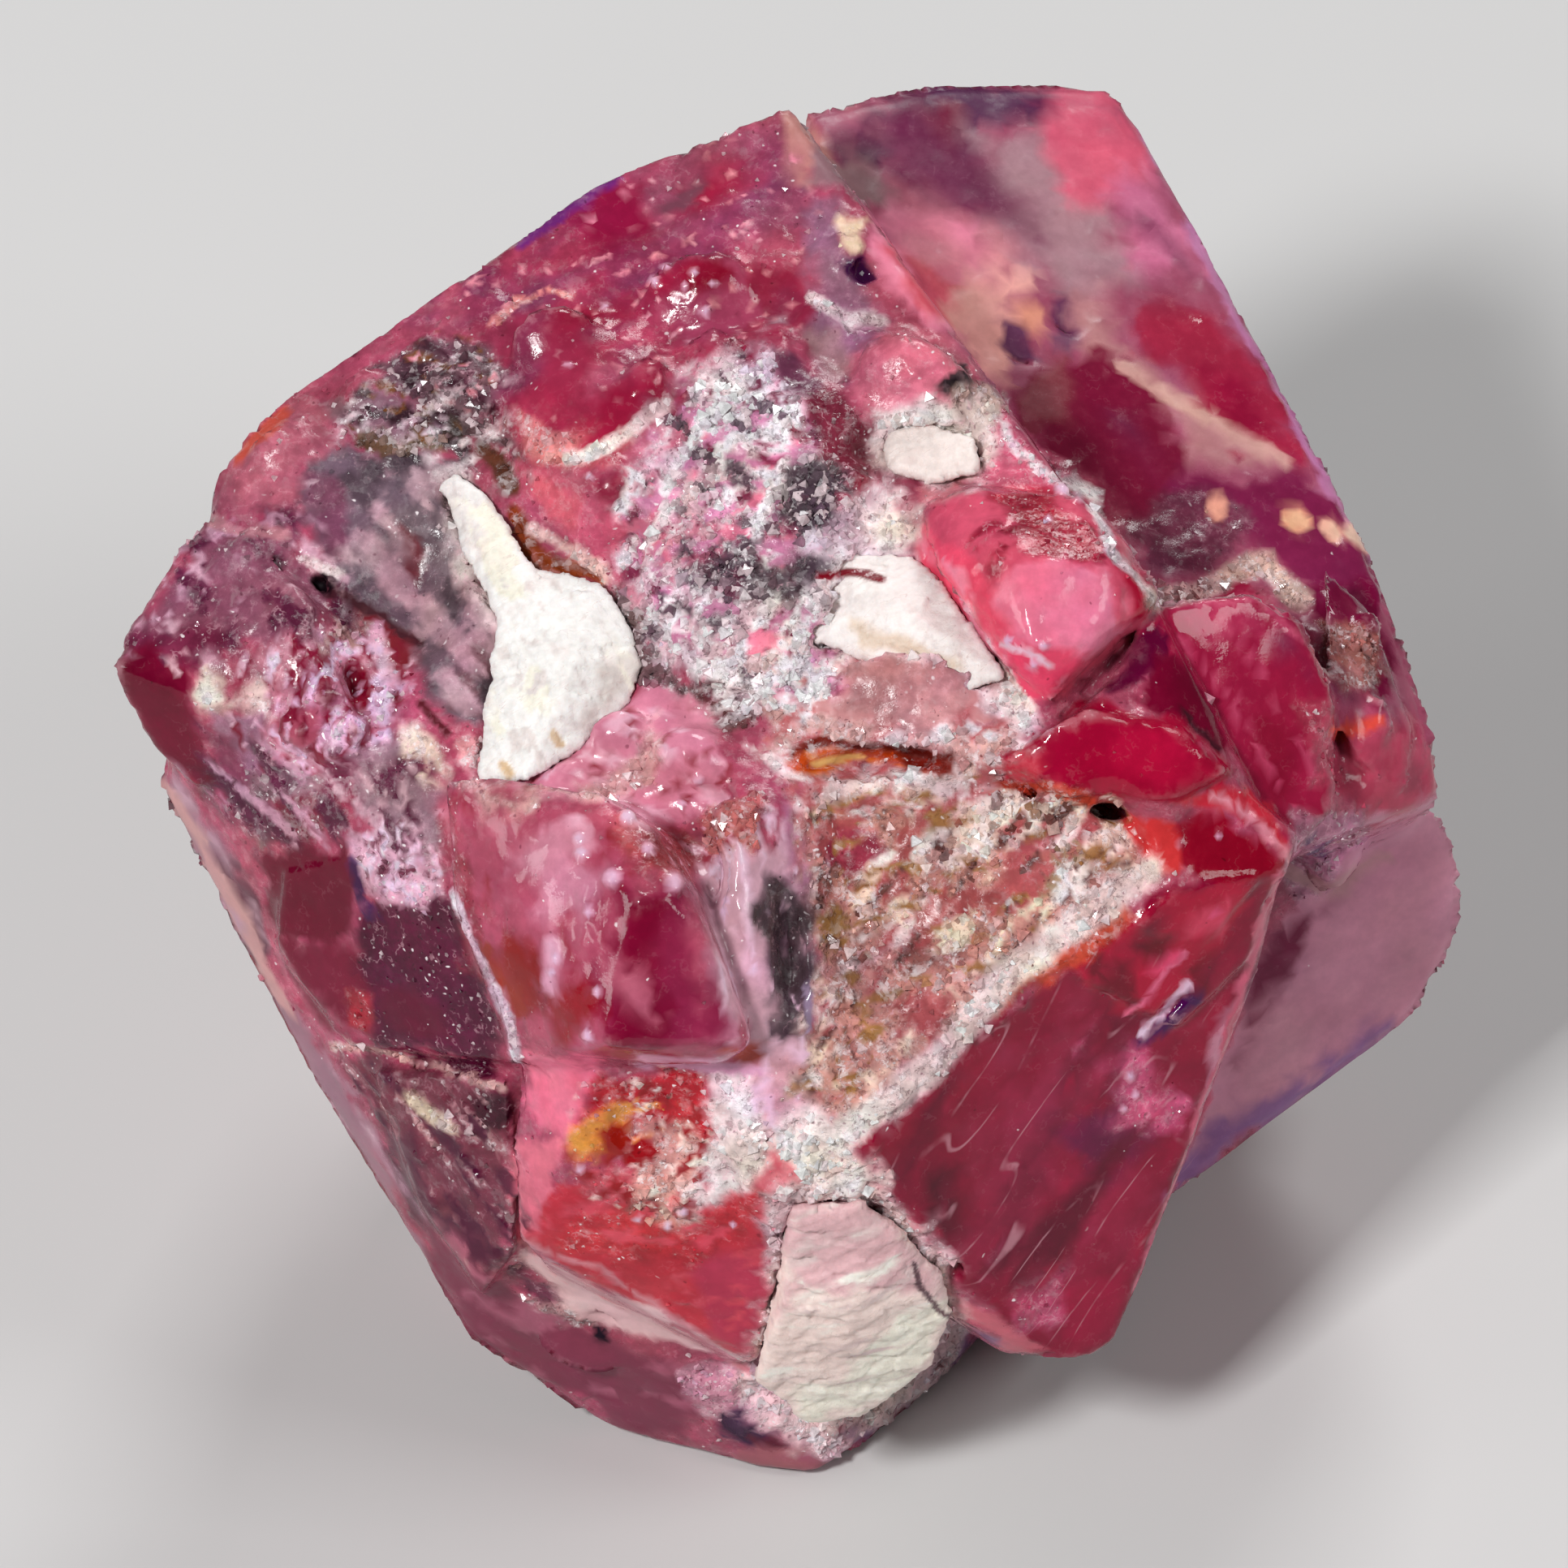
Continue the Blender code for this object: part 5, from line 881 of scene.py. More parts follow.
def blocks(points, size, salt):
    """Straight-edged blocks, each with its own height and slope, from about -1 to 1."""
    gap, offset, number = cells(points, size, salt)
    slopes = [np.modf(13 * number)[0] - 0.5, np.modf(29 * number)[0] - 0.5, np.modf(53 * number)[0] - 0.5]
    slope = sum(offset[:, axis] * slopes[axis] for axis in range(3))
    return 1.2 * (number - 0.5) + 2.2 * slope - 0.5 * gap * gap


def soft_step(low, high, value):
    share = np.clip((value - low) / (high - low), 0.0, 1.0)
    return share * share * (3.0 - 2.0 * share)


# ---------------------------------------------------------------- painting

def inside_distance(points, corners):
    """How far points lie inside a closed outline, less than 0 outside it."""
    corners = np.array(corners, dtype=float)
    nearest = np.full(len(points), 1e9)
    inside = np.zeros(len(points), dtype=bool)
    for start, end in zip(corners, np.roll(corners, -1, axis=0)):
        nearest = np.minimum(nearest, line_distance(points, start, end))
        crosses = (start[1] > points[:, 1]) != (end[1] > points[:, 1])
        if start[1] != end[1]:
            at = start[0] + (points[:, 1] - start[1]) / (end[1] - start[1]) * (end[0] - start[0])
            inside ^= crosses & (points[:, 0] < at)
    return np.where(inside, nearest, -nearest)


def line_distance(points, start, end):
    """How far points lie from the straight line between two ends."""
    start, end = np.array(start, dtype=float), np.array(end, dtype=float)
    along = end - start
    share = np.clip((points - start) @ along / max(along @ along, 1e-9), 0.0, 1.0)
    return np.linalg.norm(points - start - share[:, None] * along, axis=1)


def near(points, corners, margin):
    """Which points lie in the box round some corners."""
    corners = np.array(corners, dtype=float)
    low, high = corners.min(axis=0) - margin, corners.max(axis=0) + margin
    return np.nonzero(np.all((points > low) & (points < high), axis=1))[0]


def wandering(points, side):
    """Photo pixels moved to and fro, so that no edge is straight: a little, and a lot."""
    little = np.stack([fractal(side, 0.4, 4, 11), fractal(side, 0.4, 4, 31)], axis=1)
    lot = np.stack([fractal(side, 1.1, 4, 211), fractal(side, 1.1, 4, 231)], axis=1)
    crisp = points + WANDER * little
    return crisp, crisp + STRAY * lot


class Paint:
    """The colour and the finish of every point of a surface."""

    def __init__(self, side, places, facing):
        self.side = side
        self.places = places
        self.crisp, self.loose = wandering(places, side)
        self.facing = facing
        self.frayed = fractal(side, 0.3, 4, 51)
        self.colour = np.zeros((len(side), 3))
        self.finish = np.zeros((len(side), len(FINISHES["gem"])))
        self.striae = np.zeros(len(side))

    def lay(self, where, weight, colour, finish):
        weight = weight[:, None]
        self.colour[where] += weight * (np.array(srgb(*colour)) - self.colour[where])
        self.finish[where] += weight * (np.array(FINISHES[finish]) - self.finish[where])

    def inside(self, places, soft, corners):
        """The points in an area with a soft edge, and how far each is inside."""
        where = near(places, corners, 3 * soft)
        depth = inside_distance(places[where], corners) + RAGGED * soft * self.frayed[where]
        return where, soft_step(-soft, soft, depth) * self.facing[where]


def lay_patches(paint, patches):
    for _name, colour, finish, soft, corners in patches:
        places = paint.crisp if finish in CRISP else paint.loose
        where, weight = paint.inside(places, soft, corners)
        paint.lay(where, weight, colour, finish)


def lay_streaks(paint, streaks):
    for number, (_name, turn, length, width, rare, colour, finish, soft, corners) in enumerate(streaks):
        where, weight = paint.inside(paint.loose, soft, corners)
        cosine, sine = math.cos(math.radians(turn)), math.sin(math.radians(turn))
        across, up, out = paint.side[where].T
        bent = np.stack([(across * cosine + up * sine) / length, (up * cosine - across * sine) / width,
                         out / width], axis=1)
        blend = SOFT_STREAK if soft >= BLURRED_FROM else CRISP_STREAK
        share = soft_step(rare, rare + blend, fractal(bent, 1.0, 4, 1000 + 10 * number))
        paint.lay(where, weight * share, colour, finish)


def line_weight(places, points, width):
    """How much of a line each place near it gets, and which places those are."""
    where = near(places, points, width)
    gap = np.full(len(where), 1e9)
    for start, end in zip(points, points[1:]):
        gap = np.minimum(gap, line_distance(places[where], start, end))
    return where, 1.0 - soft_step(0.35 * width, 0.75 * width, gap)


def lay_lines(paint, lines):
    for _name, colour, finish, width, points in lines:
        places = paint.crisp if finish in CRISP else 0.5 * (paint.crisp + paint.loose)
        where, weight = line_weight(places, points, width)
        paint.lay(where, weight * paint.facing[where], colour, finish)


def bleb_distance(places):
    """How far each point is from the middle of the bleb round it, in that bleb's reach."""
    nearest = np.full(len(places), 9.0)
    for x, y, reach in BLEBS:
        where = near(places, [(x, y)], reach)
        gap = np.linalg.norm(places[where] - (x, y), axis=1) / reach
        nearest[where] = np.minimum(nearest[where], gap)
    return nearest


def bleb_rise(places):
    """How far the blebs stand out, in mm."""
    rise = np.zeros(len(places))
    for x, y, reach in BLEBS:
        where = near(places, [(x, y)], reach)
        gap = np.linalg.norm(places[where] - (x, y), axis=1) / reach
        dome = np.sqrt(np.clip(1.0 - gap * gap, 0.0, 1.0))
        rise[where] = np.maximum(rise[where], BLEB_RISE * reach * UNIT * dome)
    return rise


# Each bleb is painted nearly white: a painted highlight.
def lay_bleb_highlights(paint):
    weight = 0.9 * soft_step(1.0, 0.3, bleb_distance(paint.places)) * paint.facing
    paint.lay(np.arange(len(weight)), weight, BLEB_HIGHLIGHT_COLOUR, "gem")


def lay_striae(paint):
    for _name, soft, corners in STRIATED:
        where, weight = paint.inside(paint.crisp, soft, corners)
        paint.striae[where] = np.maximum(paint.striae[where], weight)


def paint_wild(paint):
    """Each crystal of the sides and the back gets a colour, with drifts of others over it."""
    side = paint.side
    everywhere = np.arange(len(side))
    drift = side + 0.5 * np.stack([fractal(side, 0.9, 4, 50 + axis) for axis in range(3)], axis=1)
    _gap, _offset, number = cells(drift, WILD_SIZE, 71)
    edge = 0.0
    for colour, finish, share in WILD:
        chosen = (number >= edge) & (number < edge + share)
        paint.lay(everywhere, chosen.astype(float), colour, finish)
        edge += share
    veil = soft_step(0.35, 0.8, fractal(side, 1.3, 4, 90))
    paint.lay(everywhere, 0.7 * veil, (190, 110, 130), "wax")
    grit = soft_step(0.45, 0.75, fractal(side, 1.1, 5, 120))
    paint.lay(everywhere, 0.85 * grit, (206, 160, 166), "grain")
    deep = soft_step(0.5, 0.8, fractal(side, 1.6, 3, 140))
    paint.lay(everywhere, 0.8 * deep, (84, 4, 36), "gem")


def marble(paint):
    """Drift every colour a little, the red, the green and the blue in it each its own way."""
    side = paint.side
    rich = 0.4 + 0.6 * soft_step(0.02, 0.4, paint.finish[:, 2])
    dark = fractal(side, 0.45, 5, 810)
    hues = [fractal(side, 0.7, 4, 830 + 10 * channel) for channel in range(3)]
    for channel, (light, hue) in enumerate(MARBLE):
        paint.colour[:, channel] *= np.exp(rich * (light * dark + hue * hues[channel]))
    clearness = paint.finish[:, 1:2]
    paint.colour = np.clip(paint.colour * (1.0 + clearness * np.array(CLEAR_GAIN)), 0.0, 0.96)
    paint.colour[:, 1:] = np.minimum(paint.colour[:, 1:], REDDEST * paint.colour[:, :1])


def painted_spinel(side, normals):
    """The paint of the spinel: wild all over, then the patches on what faces out of the broad side."""
    facing = soft_step(-0.05, 0.2, normals[:, 2])
    paint = Paint(side, to_photo(side), np.ones(len(side)))
    paint_wild(paint)
    paint.facing = facing
    paint.lay(np.arange(len(side)), facing, (170, 84, 104), "wax")
    lay_patches(paint, PATCHES)
    lay_streaks(paint, STREAKS)
    lay_patches(paint, OVERLAYS)
    lay_lines(paint, LINES)
    lay_bleb_highlights(paint)
    lay_striae(paint)
    marble(paint)
    return paint


# ---------------------------------------------------------------- meshes

def mesh_arrays(mesh):
    points = np.empty(3 * len(mesh.vertices))
    mesh.vertices.foreach_get("co", points)
    normals = np.empty(3 * len(mesh.vertices))
    mesh.vertex_normals.foreach_get("vector", normals)
    return points.reshape(-1, 3), normals.reshape(-1, 3)


def triangles(mesh):
    """The corners of every triangle."""
    mesh.calc_loop_triangles()
    corners = np.empty(3 * len(mesh.loop_triangles), dtype=np.int64)
    mesh.loop_triangles.foreach_get("vertices", corners)
    return corners.reshape(-1, 3)


def new_object(name, mesh):
    piece = bpy.data.objects.new(name, mesh)
    bpy.context.scene.collection.objects.link(piece)
    return piece


def evaluate(piece):
    """Replace the piece's mesh by the one its modifiers make."""
    graph = bpy.context.evaluated_depsgraph_get()
    mesh = bpy.data.meshes.new_from_object(piece.evaluated_get(graph))
    piece.modifiers.clear()
    old = piece.data
    piece.data = mesh
    bpy.data.meshes.remove(old)


def remeshed(node, name, step):
    """A copy of a node's solid on the broad side, in millimetres, meshed anew in even steps."""
    mesh = node.data.copy()
    mesh.materials.clear()
    mesh.transform(side_to_world().inverted())
    piece = new_object(name, mesh)
    remesh = piece.modifiers.new("even steps", 'REMESH')
    remesh.mode = 'VOXEL'
    remesh.voxel_size = step
    evaluate(piece)
    return piece


def thin_out(piece, keep, protected):
    """Drop triangles until `keep` are left, those of the protected points last."""
    group = piece.vertex_groups.new(name="free")
    free = np.nonzero(~protected)[0]
    group.add(free.tolist(), 1.0, 'REPLACE')
    thin = piece.modifiers.new("thin out", 'DECIMATE')
    thin.ratio = keep / len(triangles(piece.data))
    thin.vertex_group = "free"
    thin.vertex_group_factor = 10.0
    thin.use_collapse_triangulate = True
    evaluate(piece)
    piece.vertex_groups.clear()


def relief(side, finish):
    """How far each point is raised by its finish's grains, lumps and steps."""
    grain = blocks(side, GRAIN, 200)
    lump = 0.6 * blocks(side, LUMP, 300) + 0.5 * fractal(side, 0.7, 4, 400)
    rise = fractal(side, 1.5, 3, 430) * 3.0
    part = rise - np.floor(rise)
    steps = (np.floor(rise) + soft_step(0.78, 1.0, part)) / 3.0
    return finish[:, 3] * grain + finish[:, 4] * lump + finish[:, 5] * steps


def melt(piece, share):
    """Even out the surface where the stone is melted smooth."""
    points, _normals = mesh_arrays(piece.data)
    pairs = edge_pairs(piece.data)
    even = np.stack([spread(points[:, axis], pairs, MELT_TIMES) for axis in range(3)], axis=1)
    points += share[:, None] * (even - points)
    piece.data.vertices.foreach_set("co", points.ravel())
    piece.data.update()


def fill_hollows(piece):
    """Even out the narrow hollows that crust has filled, with the surface round them held still."""
    points, normals = mesh_arrays(piece.data)
    places = to_photo(points)
    pairs = edge_pairs(piece.data)
    for x, y, reach in FILLED:
        near_it = (np.linalg.norm(places - (x, y), axis=1) < reach) & (points[:, 2] > LOWEST_FILL)
        inner = pairs[near_it[pairs].all(axis=1)]
        chosen, local = np.unique(inner, return_inverse=True)
        local = local.reshape(-1, 2)
        gap = np.linalg.norm(places[chosen] - (x, y), axis=1) / reach
        free = soft_step(1.0, 0.8, gap)[:, None]
        rim = (gap > 0.7) & (normals[chosen, 2] > 0.2)
        level = np.percentile(points[chosen][rim, 2], RIM_SHARE) - FILL_DEPTH
        even = points[chosen]
        even[:, 2] = np.where(gap < 0.8, np.maximum(even[:, 2], level), even[:, 2])
        for _time in range(FILL_TIMES):
            moved = np.stack([spread(even[:, axis], local, 1) for axis in range(3)], axis=1)
            even = even + free * (moved - even)
        points[chosen] = even
    piece.data.vertices.foreach_set("co", points.ravel())
    piece.data.update()


def move_out(piece, rise):
    points, normals = mesh_arrays(piece.data)
    points += rise[:, None] * normals
    piece.data.vertices.foreach_set("co", points.ravel())
    piece.data.update()


def store(mesh, name, values):
    """Keep three numbers of every point as a colour layer."""
    layer = mesh.color_attributes.new(name, 'FLOAT_COLOR', 'POINT')
    four = np.ones((len(values), 4))
    four[:, :values.shape[1]] = values
    layer.data.foreach_set("color", four.ravel())


def store_paint(mesh, paint):
    edges = np.clip(0.5 + EDGE_GAIN * sharpness(mesh), 0.0, 1.0)
    store(mesh, "tint", paint.colour)
    store(mesh, "finish", paint.finish[:, :3])
    store(mesh, "marks", np.stack([paint.striae, paint.finish[:, 7], edges], axis=1))


def edge_pairs(mesh):
    pairs = np.empty(2 * len(mesh.edges), dtype=np.int64)
    mesh.edges.foreach_get("vertices", pairs)
    return pairs.reshape(-1, 2)


def spread(values, pairs, times):
    """Values evened out between neighbouring points."""
    count = len(values)
    ways = np.bincount(pairs.ravel(), minlength=count) + 1.0
    for _time in range(times):
        total = values.copy()
        total += np.bincount(pairs[:, 0], weights=values[pairs[:, 1]], minlength=count)
        total += np.bincount(pairs[:, 1], weights=values[pairs[:, 0]], minlength=count)
        values = total / ways
    return values


def sharpness(mesh):
    """How much the surface bends at each point: over 0 on an edge, under 0 in a crease."""
    points, normals = mesh_arrays(mesh)
    pairs = edge_pairs(mesh)
    first, second = pairs.T
    along = points[second] - points[first]
    length = np.linalg.norm(along, axis=1) + 1e-9
    drop = np.einsum("ij,ij->i", normals[second] - normals[first], along) / length
    bend = np.bincount(first, weights=drop, minlength=len(points))
    bend += np.bincount(second, weights=drop, minlength=len(points))
    ways = np.bincount(pairs.ravel(), minlength=len(points))
    return spread(bend / np.maximum(ways, 1), pairs, 2)


def dress_spinel():
    """The spinel's surface, in fine steps with its relief and its paint."""
    piece = remeshed(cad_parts["spinel_crystals"], "spinel_surface", VOXEL)
    side, normals = mesh_arrays(piece.data)
    finish = painted_spinel(side, normals).finish
    melt(piece, finish[:, 6])
    fill_hollows(piece)
    front = soft_step(0.0, 0.3, normals[:, 2])
    move_out(piece, relief(side, finish) + front * bleb_rise(to_photo(side)))
    _side, normals = mesh_arrays(piece.data)
    front = normals[:, 2] > FRONT_LOOKS
    front_faces = int(front.mean() * len(triangles(piece.data)))
    thin_out(piece, front_faces + BACK_FACES, front)
    _side, normals = mesh_arrays(piece.data)
    thin_out(piece, FRONT_FACES + BACK_FACES, normals[:, 2] <= FRONT_LOOKS)
    side, normals = mesh_arrays(piece.data)
    paint = painted_spinel(side, normals)
    add_grains(piece, paint)
    store_paint(piece.data, paint)
    finish_piece(piece, spinel_material(), "spinel", "spinel_crystals")


def finish_piece(piece, material, slot, *nodes):
    piece.data.transform(side_to_world())
    piece.data.materials.clear()
    piece.data.materials.append(material)
    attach(piece, "root")
    if nodes:
        piece.data.shade_smooth()
        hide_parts(*nodes)


# ---------------------------------------------------------------- small crystals

OCTAHEDRON_CORNERS = np.array(
    [(1, 0, 0), (-1, 0, 0), (0, 1, 0), (0, -1, 0), (0, 0, 1), (0, 0, -1)], dtype=float)
OCTAHEDRON_FACES = np.array(
    [(0, 2, 4), (2, 1, 4), (1, 3, 4), (3, 0, 4), (2, 0, 5), (1, 2, 5), (3, 1, 5), (0, 3, 5)])


def random_turns(chance, count):
    """Rotation matrices that turn any way."""
    q = chance.normal(size=(count, 4))
    q /= np.linalg.norm(q, axis=1)[:, None]
    w, x, y, z = q.T
    return np.stack([
        np.stack([1 - 2 * (y * y + z * z), 2 * (x * y - z * w), 2 * (x * z + y * w)], axis=1),
        np.stack([2 * (x * y + z * w), 1 - 2 * (x * x + z * z), 2 * (y * z - x * w)], axis=1),
        np.stack([2 * (x * z - y * w), 2 * (y * z + x * w), 1 - 2 * (x * x + y * y)], axis=1),
    ], axis=1)


def add_grains(piece, paint):
    """Small octahedra grown on the sparkling parts of the surface, in one mesh."""
    chance = np.random.default_rng(SEED)
    side, normals = mesh_arrays(piece.data)
    corners = triangles(piece.data)
    area = 0.5 * np.linalg.norm(np.cross(side[corners[:, 1]] - side[corners[:, 0]],
                                         side[corners[:, 2]] - side[corners[:, 0]]), axis=1)
    plenty = paint.finish[corners, 2].mean(axis=1) ** 3 * area
    plenty *= soft_step(-0.5, 0.4, fractal(side[corners[:, 0]], 0.5, 3, 610))
    looks = normals[corners[:, 0], 2]
    plenty *= np.where(looks > FRONT_LOOKS, soft_step(FRONT_LOOKS, 0.45, looks), BACK_PLENTY)
    chosen = chance.choice(len(plenty), size=GRAINS, p=plenty / plenty.sum())
    home = corners[chosen, 0]
    share = chance.dirichlet((1.0, 1.0, 1.0), size=GRAINS)
    place = np.einsum("ij,ijk->ik", share, side[corners[chosen]])
    reach = GRAIN_REACH[0] + (GRAIN_REACH[1] - GRAIN_REACH[0]) * chance.random(GRAINS) ** 2
    reach *= 0.45 + 0.55 * soft_step(0.0, 0.045, paint.finish[home, 3])
    place = place - GRAIN_SINK * reach[:, None] * normals[home]
    points = np.einsum("nij,kj->nki", random_turns(chance, GRAINS), OCTAHEDRON_CORNERS)
    points = place[:, None, :] + reach[:, None, None] * points
    faces = (OCTAHEDRON_FACES[None] + 6 * np.arange(GRAINS)[:, None, None]).reshape(-1, 3)
    mesh = bpy.data.meshes.new("small_crystals")
    mesh.from_pydata(points.reshape(-1, 3), [], faces)
    value = 0.75 + 0.7 * chance.random(GRAINS)
    colour = np.clip(paint.colour[home] * value[:, None], 0.0, 0.9)
    pale = 0.85 * (chance.random(GRAINS) < 0.35) * chance.random(GRAINS)
    colour += pale[:, None] * (np.array(srgb(250, 228, 232)) - colour)
    store(mesh, "tint", np.repeat(colour, 6, axis=0))
    store(mesh, "finish", np.repeat(paint.finish[home, :3], 6, axis=0))
    finish_piece(new_object("small_crystals", mesh), druse_material(), "spinel")


# ---------------------------------------------------------------- calcite

def dress_calcite(name):
    """A calcite remnant: cleaved in fine slanting steps, with stains."""
    piece = remeshed(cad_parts[name], name.replace("calcite", "white"), CALCITE_VOXEL)
    side, _normals = mesh_arrays(piece.data)
    slant = side @ np.array(CLEAVAGE[name]) + 0.12 * fractal(side, 0.9, 3, 500)
    step = np.modf(slant / CLEAVAGE_STEP + 90.0)[0]
    flakes = blocks(side * np.array([1.0, 2.2, 1.0]), 0.4, 520)
    rise = GAP + 0.016 * step + 0.024 * flakes + 0.030 * fractal(side, 0.35, 4, 540)
    move_out(piece, rise)
    if len(triangles(piece.data)) > CALCITE_FACES:
        thin_out(piece, CALCITE_FACES, np.zeros(len(side), dtype=bool))
    side, _normals = mesh_arrays(piece.data)
    paint = Paint(side, to_photo(side), np.ones(len(side)))
    paint.lay(np.arange(len(side)), paint.facing, CALCITE_BASE[name], "chalk")
    lay_patches(paint, CALCITE_PATCHES)
    lay_streaks(paint, CALCITE_STREAKS)
    lay_lines(paint, CALCITE_LINES)
    store_paint(piece.data, paint)
    finish_piece(piece, calcite_material(), "calcite", name)


# ---------------------------------------------------------------- materials

class Nodes:
    """A short way to write a material's nodes; places are in millimetres on the broad side."""

    def __init__(self, name):
        self.material = bpy.data.materials.new(name)
        self.material.use_nodes = True
        self.tree = self.material.node_tree
        self.surface = self.tree.nodes["Principled BSDF"]
        self.output = self.tree.nodes["Material Output"]
        place = self.tree.nodes.new("ShaderNodeTexCoord")
        self.place = self.placed(place.outputs["Object"], (CENTRE_ACROSS, CENTRE_BACK, -CENTRE_UP),
                                 (LEAN - math.pi / 2, 0.0, 0.0), (1.0 / MM, 1.0 / MM, 1.0 / MM))

    def placed(self, place, shift=(0.0, 0.0, 0.0), turn=(0.0, 0.0, 0.0), scale=(1.0, 1.0, 1.0)):
        """A place scaled, then moved, then turned."""
        scaled = self.vector('MULTIPLY', place, scale)
        moved = self.vector('ADD', scaled, shift)
        node = self.tree.nodes.new("ShaderNodeMapping")
        self.join(moved, node.inputs["Vector"])
        node.inputs["Rotation"].default_value = turn
        return node.outputs["Vector"]

    def join(self, source, target):
        """Plug a value or another node's socket into a socket."""
        if isinstance(source, bpy.types.NodeSocket):
            self.tree.links.new(source, target)
        else:
            target.default_value = source

    def layer(self, name):
        node = self.tree.nodes.new("ShaderNodeAttribute")
        node.attribute_name = name
        return node.outputs["Color"]

    def split(self, colour):
        node = self.tree.nodes.new("ShaderNodeSeparateColor")
        self.join(colour, node.inputs[0])
        return node.outputs[0], node.outputs[1], node.outputs[2]

    def sum(self, operation, first, second=0.0, clamp=False):
        node = self.tree.nodes.new("ShaderNodeMath")
        node.operation = operation
        node.use_clamp = clamp
        self.join(first, node.inputs[0])
        self.join(second, node.inputs[1])
        return node.outputs[0]

    def product(self, *values):
        total = values[0]
        for value in values[1:]:
            total = self.sum('MULTIPLY', total, value)
        return total

    def noise(self, size, detail=4.0, roughness=0.55, place=None):
        """Noise around 0.5 with features of `size` millimetres."""
        node = self.tree.nodes.new("ShaderNodeTexNoise")
        node.inputs["Scale"].default_value = 1.0 / size
        node.inputs["Detail"].default_value = detail
        node.inputs["Roughness"].default_value = roughness
        self.join(place or self.place, node.inputs["Vector"])
        return node.outputs["Fac"]

    def crossing(self, noise, reach, strength):
        """Thin lines where a noise crosses its middle."""
        off_middle = self.sum('ABSOLUTE', self.sum('SUBTRACT', noise, 0.5))
        return self.ramp(off_middle, 0.15 * reach, reach, strength, 0.0)

    def grains(self, size, place=None):
        """Distance and random colour of grains `size` millimetres across."""
        node = self.tree.nodes.new("ShaderNodeTexVoronoi")
        node.inputs["Scale"].default_value = 1.0 / size
        self.join(place or self.place, node.inputs["Vector"])
        return node.outputs

    def vector(self, operation, first, second=None):
        node = self.tree.nodes.new("ShaderNodeVectorMath")
        node.operation = operation
        self.join(first, node.inputs[0])
        if operation == 'SCALE':
            self.join(second, node.inputs["Scale"])
        elif second is not None:
            self.join(second, node.inputs[1])
        return node.outputs[0]

    def stirred(self, size, reach):
        """The place, moved to and fro by up to `reach` millimetres."""
        node = self.tree.nodes.new("ShaderNodeTexNoise")
        node.inputs["Scale"].default_value = 1.0 / size
        node.inputs["Detail"].default_value = 0.0
        self.join(self.place, node.inputs["Vector"])
        shift = self.vector('SUBTRACT', node.outputs["Color"], (0.5, 0.5, 0.5))
        return self.vector('ADD', self.place, self.vector('SCALE', shift, 2.0 * reach))

    def facets(self, random, share, normal):
        """The normal, turned a random way in each grain, so that single grains glint."""
        turn = self.vector('SCALE', self.vector('SUBTRACT', random, (0.5, 0.5, 0.5)), share)
        return self.vector('NORMALIZE', self.vector('ADD', normal, turn))

    def ramp(self, value, low, high, start=0.0, end=1.0):
        """A value from start to end while the input goes from low to high."""
        node = self.tree.nodes.new("ShaderNodeMapRange")
        node.interpolation_type = 'SMOOTHSTEP'
        for socket, number in zip(("From Min", "From Max", "To Min", "To Max"), (low, high, start, end)):
            node.inputs[socket].default_value = number
        self.join(value, node.inputs["Value"])
        return node.outputs["Result"]

    def mix(self, share, first, second, blend='MIX'):
        node = self.tree.nodes.new("ShaderNodeMix")
        node.data_type = 'RGBA'
        node.blend_type = blend
        self.join(share, node.inputs["Factor"])
        for socket, value in zip([socket for socket in node.inputs if socket.type == 'RGBA'], (first, second)):
            self.join(value, socket)
        return next(socket for socket in node.outputs if socket.type == 'RGBA')

    def bump(self, height, distance, strength=1.0, below=None):
        """Relief of `distance` millimetres."""
        node = self.tree.nodes.new("ShaderNodeBump")
        node.inputs["Distance"].default_value = distance * MM
        self.join(strength, node.inputs["Strength"])
        self.join(height, node.inputs["Height"])
        if below is not None:
            self.join(below, node.inputs["Normal"])
        return node.outputs["Normal"]


SPINEL_IOR = 1.718
CALCITE_IOR = 1.6
SPINEL_SPECULAR = 0.09       # the gloss of the faces at right angles to the view
ABSORPTION = (0.95, 0.10, 0.32, 1.0)
ABSORPTION_DENSITY = 600.0   # for each metre of stone
STRIA = (0.80, 0.36, 0.44, 1.0)
VEIL = (0.86, 0.50, 0.58, 1.0)
# pale edges: wear, with a painted highlight along them
WORN_AND_HIGHLIT_EDGE = (0.86, 0.50, 0.56, 1.0)
# painted shade in the creases
CREASE_SHADE = (0.45, 0.25, 0.32, 1.0)
FROST = (0.95, 0.88, 0.90, 1.0)
# painted shade in the gaps between the frost's clumps
FROST_GAP_SHADE = (0.36, 0.22, 0.26, 1.0)
GLINT_FLECK = (0.97, 0.88, 0.90, 1.0)
DARK_FLECK = (0.3, 0.12, 0.2, 1.0)
FLECKS = 0.14                # share of the small grains with a painted glint, and as many that are dark
